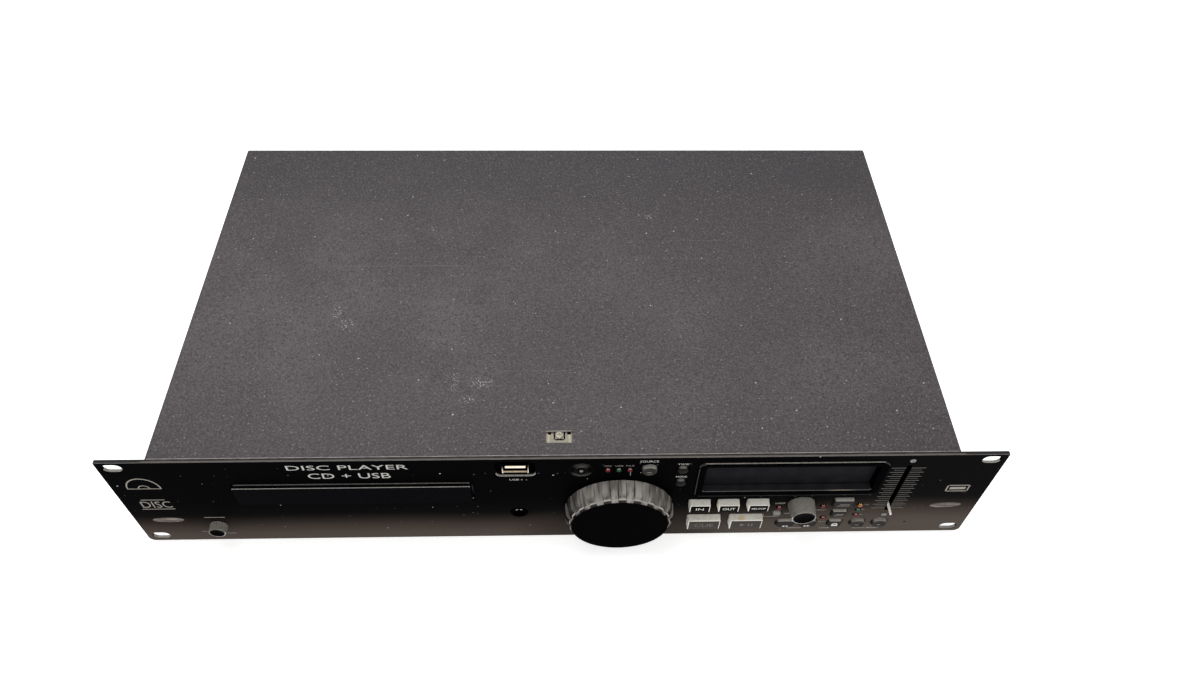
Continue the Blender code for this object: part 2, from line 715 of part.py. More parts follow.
class Piece:
    """A named solid: a first mesh, with others joined to it and cut from it."""

    def __init__(self, name, material, mesh, origin=(0, 0, 0), parent=None):
        self.name = name
        self.object = bpy.data.objects.new(name, mesh)
        bpy.context.scene.collection.objects.link(self.object)
        self.material = material
        self.origin = Vector(origin)
        self.parent = parent
        self.steps = []

    def join(self, *meshes):
        return self.step("UNION", meshes)

    def cut(self, *meshes):
        return self.step("DIFFERENCE", meshes)

    def step(self, operation, meshes):
        """Adds meshes to the last step where it is of the same kind, or to a new one."""
        if not self.steps or self.steps[-1][0] != operation:
            self.steps.append((operation, []))
        self.steps[-1][1].extend(meshes)
        return self

    def make(self):
        """Applies the joins and cuts in their order, and puts the origin at the piece's axis."""
        for operation, meshes in self.steps:
            self.apply(operation, meshes)
        mesh = self.object.data
        mesh.name = self.name
        mesh.materials.clear()
        mesh.materials.append(self.material)
        for vertex in mesh.vertices:
            vertex.co -= self.origin
        mesh.shade_smooth()
        mesh.set_sharp_from_angle(angle=SHARP_ANGLE)
        self.object.location = self.origin
        if self.parent:
            self.object.parent = self.parent.object
            self.object.location = self.origin - self.parent.origin
        return self

    def apply(self, operation, meshes):
        """One Boolean with all of these meshes, applied, after which they are removed."""
        others = bpy.data.collections.new(self.name + "_shapes")
        bpy.context.scene.collection.children.link(others)
        for mesh in meshes:
            other = bpy.data.objects.new(self.name + "_shape", mesh)
            other.hide_render = True
            other.display_type = "WIRE"
            others.objects.link(other)
        boolean = self.object.modifiers.new(operation.lower(), "BOOLEAN")
        boolean.operation = operation
        boolean.operand_type = "COLLECTION"
        boolean.solver = "EXACT"
        boolean.collection = others
        graph = bpy.context.evaluated_depsgraph_get()
        result = bpy.data.meshes.new_from_object(self.object.evaluated_get(graph))
        self.object.modifiers.clear()
        self.object.data = result
        for other in list(others.objects):
            bpy.data.objects.remove(other, do_unlink=True)
        bpy.data.collections.remove(others)


# Case.


def chassis_pan(look):
    """The floor and side walls of the case, with front flanges and bosses for the boards."""
    front, back = depth(BEHIND_PANEL), depth(CASE_DEPTH)
    wall_top = COVER_TOP - PAN_WALL_DROP
    pan = Piece("chassis_pan", look["zinc"], box((-PAN_HALF, front, FOOT_HEIGHT),
            (PAN_HALF, back, FLOOR_Z)))
    for side in (-1, 1):
        outer, inner = side * PAN_HALF, side * (PAN_HALF - SHEET)
        edge = side * (PAN_HALF - PAN_FLANGE)
        pan.join(
            box((min(outer, inner), front, FOOT_HEIGHT), (max(outer, inner), back, wall_top)),
            box((min(outer, edge), front, FOOT_HEIGHT), (max(outer, edge), front + SHEET, wall_top)),
        )
    for x, y in board_bosses():
        pan.join(turned((x, y), "z", ((FOOT_HEIGHT + SHEET / 2, BOSS_RADIUS),
                (FLOOR_Z + STANDOFF, BOSS_RADIUS)), SMALL_STEPS))
    return pan.make()


def board_bosses():
    """Where the main board and the power board are held up."""
    for left, width, start, length in (
        (MAIN_BOARD_LEFT, MAIN_BOARD_WIDTH, MAIN_BOARD_START, MAIN_BOARD_LENGTH),
        (POWER_BOARD_LEFT, POWER_BOARD_WIDTH, POWER_BOARD_START, POWER_BOARD_LENGTH),
    ):
        for x in (left + BOSS_INSET, left + width - BOSS_INSET):
            for y in (start + BOSS_INSET, start + length - BOSS_INSET):
                yield x, depth(y)


def top_cover(look):
    """The painted cover: a folded sheet with a small cut-out near its front edge."""
    front, back = depth(COVER_SETBACK), depth(CASE_DEPTH)
    bottom = FOOT_HEIGHT + COVER_SKIRT_GAP
    outer = folded(CASE_WIDTH / 2, bottom, COVER_TOP, COVER_BEND)
    inner = folded(CASE_WIDTH / 2 - SHEET, bottom, COVER_TOP - SHEET, COVER_BEND - SHEET)
    cover = Piece("top_cover", look["grey_paint"], prism(outer + inner[::-1], "y", front, back))
    x, y = BRACKET_X_SHARE * PANEL_WIDTH, depth(WINDOW_SETBACK)
    window = rectangle((x, y), WINDOW_WIDTH, WINDOW_DEPTH)
    cover.cut(prism(window, "z", COVER_TOP - SHEET - OVERRUN, COVER_TOP + OVERRUN))
    return cover.make()


def folded(half, bottom, top, bend):
    """Half the outline of a sheet folded down at both sides, from the left foot to the right."""
    left = arc((-half + bend, top - bend), bend, math.pi, math.pi / 2, CORNER_STEPS)
    right = arc((half - bend, top - bend), bend, math.pi / 2, 0, CORNER_STEPS)
    return [(-half, bottom), *left, *right, (half, bottom)]


def rear_panel(look):
    """The upright rear sheet, with the openings for the inlet and the output sockets."""
    half = PAN_HALF - SHEET - RUN
    outer, inner = depth(CASE_DEPTH), depth(CASE_DEPTH - REAR_SHEET)
    bottom, top = FLOOR_Z + SEAT, COVER_TOP - SHEET - SEAT
    rear = Piece("rear_panel", look["grey_paint"], box((-half, inner, bottom), (half, outer, top)))
    hole = rectangle((INLET_X, INLET_Z), INLET_WIDTH - 2 * INLET_LIP + 2 * SEAT,
            INLET_HEIGHT - 2 * INLET_LIP + 2 * SEAT)
    rear.cut(prism(hole, "y", inner - OVERRUN, outer + OVERRUN))
    for x in barrel_places():
        rear.cut(prism(circle((x, OUTPUT_Z), BARREL_RADIUS + SEAT), "y", inner - OVERRUN, outer + OVERRUN))
    return rear.make()


def feet(look):
    """Four round rubber feet under the pan."""
    x = CASE_WIDTH / 2 - FOOT_INSET
    for side, column in ((-1, "left"), (1, "right")):
        for y, row in ((depth(FOOT_INSET), "front"), (depth(CASE_DEPTH - FOOT_INSET), "rear")):
            levels = ((0, FOOT_RADIUS - FOOT_BEVEL), (FOOT_BEVEL, FOOT_RADIUS),
                    (FOOT_HEIGHT - SEAT, FOOT_RADIUS))
            Piece(f"foot_{row}_{column}", look["rubber"], turned((side * x, y), "z", levels)).make()


def centre_bracket(look):
    """A yellow zinc bracket from the pan's floor to just under the cover's cut-out."""
    x = BRACKET_X_SHARE * PANEL_WIDTH
    back_of_board = depth(BOARD_DEPTH + BOARD_THICKNESS + BRACKET_BOARD_GAP)
    left, right = x - BRACKET_WIDTH / 2, x + BRACKET_WIDTH / 2
    top = COVER_TOP - BRACKET_TOP_DROP
    foot = FLOOR_Z + SEAT
    flange_front = back_of_board + SHEET + BRACKET_BACK - BRACKET_TOP_LENGTH
    bracket = Piece("centre_bracket", look["yellow_zinc"], box((left, back_of_board, foot),
            (right, back_of_board + SHEET, top)))
    bracket.join(
        box((left, flange_front, top - SHEET), (right, flange_front + BRACKET_TOP_LENGTH, top)),
        box((left, back_of_board, foot), (right, back_of_board + BRACKET_FOOT_LENGTH, foot + SHEET)),
    )
    hole = circle((x, depth(BRACKET_SCREW_SETBACK)), BRACKET_SCREW_HOLE, SMALL_STEPS)
    bracket.cut(prism(hole, "z", top - SHEET - OVERRUN, top + OVERRUN))
    return bracket.make()


# Front panel.


def front_panel(look):
    """The rack panel, with every opening that the controls need."""
    bottom, top = PANEL_LIFT, PANEL_LIFT + PANEL_HEIGHT
    outline = rectangle((0, (bottom + top) / 2), PANEL_WIDTH, PANEL_HEIGHT, PANEL_CORNER)
    panel = Piece("front_panel", look["black_gloss"], prism(outline, "y", depth(0), depth(PANEL_THICKNESS)))
    for hole in rack_slots() + control_holes():
        panel.cut(prism(hole, "y", depth(-OVERRUN), depth(PANEL_THICKNESS + OVERRUN)))
    ring = place("open_close_button")
    levels = (
        (depth(-OPEN_RING_DEPTH), 2 * OPEN_RING_RADIUS - OPEN_RADIUS - BUTTON_CLEARANCE),
        (depth(OPEN_RING_DEPTH), OPEN_RADIUS + BUTTON_CLEARANCE),
    )
    panel.cut(turned(ring, "y", levels))
    return panel.make()


def rack_slots():
    """The outlines of the four round-ended slots for the rack's bolts."""
    middle = PANEL_LIFT + PANEL_HEIGHT / 2
    radius = RACK_SLOT_HEIGHT / 2
    straight = RACK_SLOT_LENGTH / 2 - radius
    slots = []
    for side in (-1, 1):
        for up in (-1, 1):
            x, z = side * RACK_SPACING_X / 2, middle + up * RACK_SPACING_Z / 2
            right = arc((x + straight, z), radius, -math.pi / 2, math.pi / 2, SMALL_STEPS)
            left = arc((x - straight, z), radius, math.pi / 2, math.pi * 3 / 2, SMALL_STEPS)
            slots.append(right + left)
    return slots


def control_holes():
    """The outlines cut through the panel."""
    holes = [hole for _, hole, *_ in buttons()]
    holes += [circle(spot, LIGHT_RADIUS + LIGHT_CLEARANCE, SMALL_STEPS) for spot in light_places()]
    tray_width, tray_height = DOOR_WIDTH + 2 * TRAY_OPENING_MARGIN_X, DOOR_HEIGHT + 2 * TRAY_OPENING_MARGIN_Z
    holes.append(rectangle(place("tray"), tray_width, tray_height))
    holes.append(rectangle(place("usb"), USB_OPENING_WIDTH, USB_OPENING_HEIGHT, USB_OPENING_CORNER))
    holes.append(circle(place("phones"), PHONES_NOSE_RADIUS + SEAT))
    holes.append(circle(place("level"), POT_BUSH_RADIUS + SEAT))
    holes.append(circle(place("jog"), JOG_SHAFT_RADIUS + SEAT + BEARING_WALL + SEAT))
    holes.append(circle(place("track"), TRACK_BASE_RADIUS + TRACK_HOLE_GAP))
    holes.append(display_tube(SEAT))
    x, z = place("fader")
    holes.append(rectangle((x, z), FADER_SLOT_WIDTH, FADER_SLOT_LENGTH, FADER_SLOT_WIDTH / 2 - SEAT))
    for up in (-1, 1):
        holes.append(circle((x, z + up * FADER_SCREW_SPACING / 2), SCREW_SHANK_RADIUS + SEAT, SMALL_STEPS))
    return holes


def display_tube(margin):
    """The outline of the display frame's part that passes through the panel."""
    width = FRAME_WIDTH - 2 * FRAME_WALL + 2 * margin
    return rectangle(place("display"), width, FRAME_HEIGHT - 2 * FRAME_WALL + 2 * margin,
            FRAME_CORNER - FRAME_WALL)


def display(look):
    """The raised frame round the display, and the display module behind it."""
    x, z = place("display")
    frame_levels = (
        (depth(-FRAME_STAND), rectangle((x, z), FRAME_WIDTH - 2 * BUTTON_CHAMFER,
        FRAME_HEIGHT - 2 * BUTTON_CHAMFER, FRAME_CORNER)),
        (depth(-FRAME_STAND + BUTTON_CHAMFER), rectangle((x, z), FRAME_WIDTH, FRAME_HEIGHT, FRAME_CORNER)),
        (depth(-SEAT), rectangle((x, z), FRAME_WIDTH, FRAME_HEIGHT, FRAME_CORNER)),
    )
    frame = Piece("display_frame", look["black_plastic"], loft(frame_levels, "y"))
    back = depth(PANEL_THICKNESS + FRAME_STAND)
    frame.join(prism(display_tube(0), "y", depth(-FRAME_STAND + BUTTON_CHAMFER), back))
    glass = (x, z + GLASS_RISE)
    slope = FRAME_STAND
    wide = rectangle(glass, WINDOW_GLASS_WIDTH + slope, WINDOW_GLASS_HEIGHT + slope)
    narrow = rectangle(glass, WINDOW_GLASS_WIDTH, WINDOW_GLASS_HEIGHT)
    frame.cut(
        loft(((depth(-FRAME_STAND - OVERRUN), wide), (depth(-FRAME_STAND), wide), (depth(SEAT), narrow),
        (back + OVERRUN, narrow)), "y")
    )
    frame.make()
    module = rectangle(glass, WINDOW_GLASS_WIDTH + 2 * GLASS_LIP, WINDOW_GLASS_HEIGHT + 2 * GLASS_LIP)
    module_front = back + SEAT
    screen = Piece("display_module", look["display_glass"], prism(module, "y", module_front,
            module_front + GLASS_THICKNESS))
    screen.make()


def front_board(look):
    """The board behind the panel, with its switches, encoder and lights soldered on."""
    left, right = place("usb")[0] - BOARD_REACH, place("fader")[0] + BOARD_REACH
    step, middle = place("phones")[0] + BOARD_STEP_REACH, place("usb")[1] - BOARD_STEP_DROP
    bottom, top = PANEL_LIFT + BOARD_BOTTOM, PANEL_LIFT + PANEL_HEIGHT - BOARD_TOP_MARGIN
    outline = [(step, bottom), (right, bottom), (right, top), (left, top), (left, middle), (step, middle)]
    face, back = depth(BOARD_DEPTH), depth(BOARD_DEPTH + BOARD_THICKNESS)
    inside = face + BOARD_THICKNESS / 2
    board = Piece("front_board", look["board"], prism(outline, "y", face, back))
    for name, *_ in buttons():
        spot = place(name)
        board.join(prism(rectangle(spot, SWITCH_SIDE, SWITCH_SIDE), "y", face - SWITCH_HEIGHT, inside))
        board.join(turned(spot, "y", ((face - PLUNGER_HEIGHT, PLUNGER_RADIUS), (inside, PLUNGER_RADIUS)),
                SMALL_STEPS))
    for spot in light_places():
        levels = (
            (depth(-LIGHT_STAND - LIGHT_DOME), LIGHT_RADIUS / 2),
            (depth(-LIGHT_STAND), LIGHT_RADIUS),
            (inside, LIGHT_RADIUS),
        )
        board.join(turned(spot, "y", levels, SMALL_STEPS))
    spot = place("track")
    board.join(prism(rectangle(spot, ENCODER_SIDE, ENCODER_SIDE), "y", face - ENCODER_HEIGHT, inside))
    bush = depth(TRACK_SINK + SEAT)
    board.join(turned(spot, "y", ((bush, ENCODER_BUSH_RADIUS), (inside, ENCODER_BUSH_RADIUS))))
    tip = depth(-TRACK_HEIGHT + KNOB_WALL + SEAT)
    board.join(turned(spot, "y", ((tip, ENCODER_SHAFT_RADIUS), (inside, ENCODER_SHAFT_RADIUS))))
    return board.make()


# Buttons.


def buttons():
    """Each button: its name, hole, cap, stand over the panel and finish."""
    yield rect_button("in_button", CAP_WIDTH, CAP_HEIGHT, CAP_CORNER, CAP_STAND, "white_plastic")
    yield rect_button("out_button", CAP_WIDTH, CAP_HEIGHT, CAP_CORNER, CAP_STAND, "white_plastic")
    yield rect_button("reloop_button", CAP_WIDTH, CAP_HEIGHT, CAP_CORNER, CAP_STAND, "white_plastic")
    yield rect_button("cue_button", MAIN_CAP_WIDTH, MAIN_CAP_HEIGHT, CAP_CORNER, MAIN_CAP_STAND,
            "white_plastic")
    yield rect_button("play_pause_button", MAIN_CAP_WIDTH, MAIN_CAP_HEIGHT, CAP_CORNER, MAIN_CAP_STAND,
            "white_plastic")
    yield rect_button("bank_upper_button", BANK_WIDTH, BANK_HEIGHT, BANK_CORNER, BANK_STAND, "grey_plastic")
    yield rect_button("bank_lower_button", SMALL_BANK_WIDTH, SMALL_BANK_HEIGHT, BANK_CORNER,
            SMALL_BANK_STAND, "grey_plastic")
    yield rect_button("lock_button", LOCK_WIDTH, LOCK_HEIGHT, LOCK_CORNER, SMALL_BANK_STAND, "grey_plastic")
    yield rect_button("search_back_button", SEARCH_WIDTH, SEARCH_HEIGHT, SEARCH_CORNER, SEARCH_STAND,
            "grey_plastic")
    yield rect_button("search_forward_button", SEARCH_WIDTH, SEARCH_HEIGHT, SEARCH_CORNER, SEARCH_STAND,
            "grey_plastic")
    yield round_button("open_close_button", OPEN_RADIUS, BUTTON_CLEARANCE, OPEN_STAND, "black_plastic")
    yield round_button("source_button", SOURCE_RADIUS, BUTTON_CLEARANCE, SOURCE_STAND, "grey_plastic")
    yield round_button("time_button", TIME_RADIUS, BUTTON_CLEARANCE, TIME_STAND, "grey_plastic")
    yield round_button("mode_button", TIME_RADIUS, BUTTON_CLEARANCE, TIME_STAND, "grey_plastic")
    yield round_button("plus_button", PLUS_RADIUS, BUTTON_CLEARANCE, PLUS_STAND, "grey_plastic")
    yield round_button("bend_minus_button", BEND_RADIUS, BEND_CLEARANCE, BEND_STAND, "grey_plastic")
    yield round_button("bend_plus_button", BEND_RADIUS, BEND_CLEARANCE, BEND_STAND, "grey_plastic")


def rect_button(name, width, height, corner, stand, look):
    def outline(grow):
        return rectangle(place(name), width + 2 * grow, height + 2 * grow, max(corner + grow, corner / 2))

    return name, outline(BUTTON_CLEARANCE), outline, BUTTON_CLEARANCE, stand, look


def round_button(name, radius, clearance, stand, look):
    def outline(grow):
        return circle(place(name), radius + grow)

    return name, outline(clearance), outline, clearance, stand, look


def make_buttons(look):
    """A chamfered cap in its hole, a flange that holds it behind the panel, and a stem to its switch."""
    for name, _, outline, clearance, stand, colour in buttons():
        flange, flange_back = depth(BEHIND_PANEL), depth(BEHIND_PANEL + BUTTON_FLANGE)
        front = depth(-stand)
        cap = loft(
            (
                (front, outline(-BUTTON_CHAMFER)),
                (front + BUTTON_CHAMFER, outline(0)),
                (flange + BUTTON_FLANGE / 2, outline(0)),
            ),
            "y",
        )
        x, z = place(name)
        button = Piece(name, look[colour], cap, origin=(x, depth(0), z))
        button.join(prism(outline(clearance + BUTTON_LIP - BUTTON_CLEARANCE), "y", flange, flange_back))
        stem_end = depth(BOARD_DEPTH - PLUNGER_HEIGHT - BUTTON_TRAVEL - SEAT)
        button.join(turned((x, z), "y", ((flange, BUTTON_STEM), (stem_end, BUTTON_STEM)), SMALL_STEPS))
        button.make()


# Jog wheel and knobs.


def jog_wheel(look):
    """The grooved rim, the flat face with its shaft, and the bearing behind the panel."""
    spot = place("jog")
    origin = (spot[0], depth(0), spot[1])
    front, back = depth(-JOG_HEIGHT), depth(-JOG_CLEARANCE)
    bevel = JOG_RADIUS - JOG_FRONT_RADIUS
    steps = JOG_GROOVE_STEPS

    def rim_outline(radius):
        return waved(spot, radius, JOG_GROOVE, JOG_GROOVES, JOG_LAND_SHARE, steps)

    rim = Piece(
        "jog_rim",
        look["dark_grey_plastic"],
        loft(((front, rim_outline(JOG_FRONT_RADIUS)), (front + 2 * bevel, rim_outline(JOG_RADIUS)),
        (back, rim_outline(JOG_RADIUS))), "y"),
        origin,
    )
    web_front = front + JOG_FACE_THICKNESS + SEAT
    web_back = web_front + JOG_WEB_THICKNESS
    hollow = JOG_FACE_RADIUS + SEAT
    rim.cut(
        turned(spot, "y", ((front - OVERRUN, hollow), (web_front, hollow)), FINE_STEPS),
        turned(spot, "y", ((web_back, hollow), (back + OVERRUN, hollow)), FINE_STEPS),
        turned(spot, "y", ((front, JOG_HUB_RADIUS + SEAT), (back, JOG_HUB_RADIUS + SEAT))),
    )
    rim.make()
    shaft_end = depth(BOARD_DEPTH - BOARD_THICKNESS)
    face = Piece(
        "jog_face",
        look["black_plastic"],
        turned(spot, "y", ((front, JOG_FACE_RADIUS), (front + JOG_FACE_THICKNESS, JOG_FACE_RADIUS)),
        FINE_STEPS),
        origin,
    )
    face.join(
        turned(spot, "y", ((front + JOG_FACE_THICKNESS / 2, JOG_HUB_RADIUS), (back, JOG_HUB_RADIUS))),
        turned(spot, "y", ((front + JOG_FACE_THICKNESS / 2, JOG_SHAFT_RADIUS),
        (shaft_end, JOG_SHAFT_RADIUS))),
    )
    face.make()
    bore = JOG_SHAFT_RADIUS + SEAT
    bearing_front = back + SEAT
    flange = depth(BEHIND_PANEL)
    bearing_back = depth(BOARD_DEPTH - SEAT)
    bearing = Piece(
        "jog_bearing",
        look["steel"],
        turned(spot, "y", ((bearing_front, bore + BEARING_WALL), (bearing_back, bore + BEARING_WALL))),
    )
    bearing.join(turned(spot, "y", ((flange, BEARING_FLANGE),
            (flange + BEARING_FLANGE_THICKNESS, BEARING_FLANGE))))
    bearing.cut(turned(spot, "y", ((bearing_front - OVERRUN, bore), (shaft_end + SEAT, bore))))
    bearing.make()


def knobs(look):
    """The track knob on the encoder's shaft, and the level knob on its potentiometer."""
    spot = place("track")
    front, base = depth(-TRACK_HEIGHT), depth(TRACK_SINK)
    knob = Piece(
        "track_knob",
        look["dark_grey_plastic"],
        turned(spot, "y", ((front, TRACK_FRONT_RADIUS), (base, TRACK_BASE_RADIUS)), FINE_STEPS),
        (spot[0], depth(0), spot[1]),
    )
    dish = TRACK_FRONT_RADIUS - TRACK_RECESS
    knob.cut(
        turned(spot, "y", ((front - OVERRUN, dish), (front, dish), (front + TRACK_RECESS, dish / 2))),
        turned(spot, "y", ((front + KNOB_WALL, ENCODER_SHAFT_RADIUS + SEAT),
        (base + OVERRUN, ENCODER_SHAFT_RADIUS + SEAT))),
    )
    knob.make()
    spot = place("level")
    front, base = depth(-LEVEL_HEIGHT), depth(-LEVEL_FOOT_GAP)
    ribbed = waved(spot, LEVEL_BASE_RADIUS, LEVEL_RIB, LEVEL_RIBS, LEVEL_LAND_SHARE, LEVEL_RIB_STEPS)
    narrow = waved(spot, LEVEL_FRONT_RADIUS, 0, LEVEL_RIBS, LEVEL_LAND_SHARE, LEVEL_RIB_STEPS)
    knob = Piece(
        "level_knob",
        look["black_plastic"],
        loft(((front, narrow), (base, ribbed)), "y"),
        (spot[0], depth(0), spot[1]),
    )
    knob.cut(turned(spot, "y", ((front + LEVEL_KNOB_WALL, POT_SHAFT_RADIUS + SEAT),
            (base + OVERRUN, POT_SHAFT_RADIUS + SEAT))))
    knob.make()
    back = depth(BEHIND_PANEL)
    pot = Piece("level_pot", look["steel"], prism(rectangle(spot, POT_SIDE, POT_SIDE), "y", back,
            back + POT_DEPTH))
    pot.join(
        turned(spot, "y", ((depth(0), POT_BUSH_RADIUS), (back + POT_DEPTH / 2, POT_BUSH_RADIUS))),
        turned(spot, "y", ((front + LEVEL_KNOB_WALL + SEAT, POT_SHAFT_RADIUS),
        (back + POT_DEPTH / 2, POT_SHAFT_RADIUS)), SMALL_STEPS),
    )
    pot.make()


def pitch_fader(look):
    """The slide potentiometer behind the panel, its bare lever, and its two screws."""
    x, z = place("fader")
    front = depth(BEHIND_PANEL)
    back = depth(BOARD_DEPTH - SEAT)
    body = Piece("fader_body", look["fader_metal"], prism(rectangle((x, z), FADER_WIDTH, FADER_LENGTH),
            "y", front, back))
    body.join(prism(rectangle((x, z), FADER_EAR_WIDTH, FADER_EAR_LENGTH), "y", front,
            front + FADER_EAR_THICKNESS))
    cavity = rectangle((x, z), FADER_WIDTH - 2 * FADER_WALL, FADER_LENGTH - 2 * FADER_WALL)
    body.cut(prism(cavity, "y", front - OVERRUN, back - FADER_WALL))
    origin = (x, depth(0), LEVER_Z)
    lever_back = back - FADER_WALL - SEAT
    carriage_front = lever_back - CARRIAGE_DEPTH
    blade = rectangle((x, LEVER_Z), LEVER_THICKNESS, LEVER_HEIGHT)
    lever = Piece("fader_lever", look["steel"], prism(blade, "y", depth(-LEVER_STAND), lever_back), origin)
    lever.join(prism(rectangle((x, LEVER_Z), CARRIAGE_WIDTH, CARRIAGE_LENGTH), "y", carriage_front,
            lever_back))
    lever.make()
    for up, name in ((1, "fader_screw_upper"), (-1, "fader_screw_lower")):
        spot = (x, z + up * FADER_SCREW_SPACING / 2)
        body.cut(prism(circle(spot, SCREW_SHANK_RADIUS + SEAT, SMALL_STEPS), "y", front - OVERRUN,
                front + FADER_EAR_THICKNESS + OVERRUN))
        head = depth(-SEAT)
        screw = Piece(
            name,
            look["steel"],
            turned(
                spot,
                "y",
                ((head - SCREW_HEAD_HEIGHT, SCREW_HEAD_RADIUS - SCREW_RECESS_DEPTH),
                (head - SCREW_RECESS_DEPTH, SCREW_HEAD_RADIUS), (head, SCREW_HEAD_RADIUS)),
            ),
        )
        screw.join(turned(spot, "y", ((head - SCREW_RECESS_DEPTH, SCREW_SHANK_RADIUS),
                (head + SCREW_LENGTH, SCREW_SHANK_RADIUS)), SMALL_STEPS))
        for width, height in ((SCREW_RECESS_WIDTH, SCREW_RECESS_LENGTH),
                (SCREW_RECESS_LENGTH, SCREW_RECESS_WIDTH)):
            cross = rectangle(spot, width, height)
            screw.cut(prism(cross, "y", head - SCREW_HEAD_HEIGHT - OVERRUN,
                    head - SCREW_HEAD_HEIGHT + SCREW_RECESS_DEPTH))
        screw.make()
    body.make()


# Sockets on the front.


def front_sockets(look):
    """The USB socket with its tongue, and the headphone socket with its bore."""
    x, z = place("usb")
    front, back = depth(-USB_STAND), depth(BOARD_DEPTH - SEAT)
    usb = Piece("usb_socket", look["steel"], prism(rectangle((x, z), USB_WIDTH, USB_HEIGHT), "y", front,
            back))
    inner_width, inner_height = USB_WIDTH - 2 * USB_WALL, USB_HEIGHT - 2 * USB_WALL
    usb.cut(prism(rectangle((x, z), inner_width, inner_height), "y", front - OVERRUN, back - 2 * USB_WALL))
    roof = z + inner_height / 2 - SEAT
    usb.join(
        box(
            (x - USB_TONGUE_WIDTH / 2, front + USB_TONGUE_SETBACK, roof - USB_TONGUE_HEIGHT),
            (x + USB_TONGUE_WIDTH / 2, back - USB_WALL, roof),
        )
    )
    usb.make()
    spot = place("phones")
    housing_front = depth(BEHIND_PANEL)
    housing_back = housing_front + PHONES_DEPTH
    nose = depth(-PHONES_NOSE_STAND)
    phones = Piece("phones_socket", look["black_plastic"],
            prism(rectangle(spot, PHONES_WIDTH, PHONES_HEIGHT), "y", housing_front, housing_back))
    phones.join(turned(spot, "y", ((nose, PHONES_NOSE_RADIUS),
            (housing_front + BUTTON_FLANGE, PHONES_NOSE_RADIUS))))
    phones.cut(turned(spot, "y", ((nose - OVERRUN, PHONES_BORE_RADIUS),
            (housing_back - BUTTON_FLANGE, PHONES_BORE_RADIUS))))
    phones.make()


# Disc tray and loader.


def tray(look):
    """The disc tray with its well, slot and rack, and the door on its front."""
    x, z = TRAY_X, TRAY_Z
    start, end = depth(TRAY_START), depth(TRAY_START + TRAY_LENGTH)
    half = TRAY_WIDTH / 2
    centre = (x, depth(WELL_SETBACK))
    floor = TRAY_TOP - WELL_DEPTH
    moving = Piece(
        "tray",
        look["black_plastic"],
        box((x - half, start, TRAY_BOTTOM), (x + half, end, TRAY_TOP)),
        (x, depth(0), z),
    )
    moving.join(
        box(
            (x - TRAY_LIP_WIDTH / 2, start, TRAY_BOTTOM),
            (x + TRAY_LIP_WIDTH / 2, start + TRAY_LIP_THICKNESS, TRAY_TOP + TRAY_LIP_RISE),
        ),
        prism(tray_rack(), "z", TRAY_BOTTOM - RACK_DROP, TRAY_BOTTOM + WELL_DEPTH / 2),
    )
    slot_half = TRAY_SLOT_WIDTH / 2
    slot = arc(centre, TRAY_SLOT_RADIUS, math.pi, math.tau, STEPS // 2)
    slot += [(x + slot_half, end + OVERRUN), (x - slot_half, end + OVERRUN)]
    moving.cut(
        turned(centre, "z", ((floor, WELL_RADIUS), (TRAY_TOP + OVERRUN, WELL_RADIUS)), FINE_STEPS),
        prism(slot, "z", TRAY_BOTTOM - RACK_DROP - OVERRUN, TRAY_TOP + OVERRUN),
    )
    moving.make()
    door_front = depth(-DOOR_STAND)
    outline = rectangle((x, z), DOOR_WIDTH, DOOR_HEIGHT)
    inset = rectangle((x, z), DOOR_WIDTH - 2 * BUTTON_CHAMFER, DOOR_HEIGHT - 2 * BUTTON_CHAMFER)
    door = Piece(
        "tray_door",
        look["door_gloss"],
        loft(((door_front, inset), (door_front + BUTTON_CHAMFER, outline),
        (door_front + DOOR_THICKNESS, outline)), "y"),
        (x, depth(0), z),
        parent=moving,
    )
    door.make()
    return moving


def tray_rack():
    """The tray's rack, whose teeth mesh with the tray gear at rest."""
    back = TRAY_X - RACK_OFFSET - RACK_BAR_WIDTH / 2
    pitch_line = GEAR_X - GEAR_RADIUS
    start, end = depth(RACK_FRONT), depth(TRAY_START + TRAY_LENGTH)
    return rack_outline(pitch_line, back, start, end, GEAR_MODULE, depth(GEAR_SETBACK))


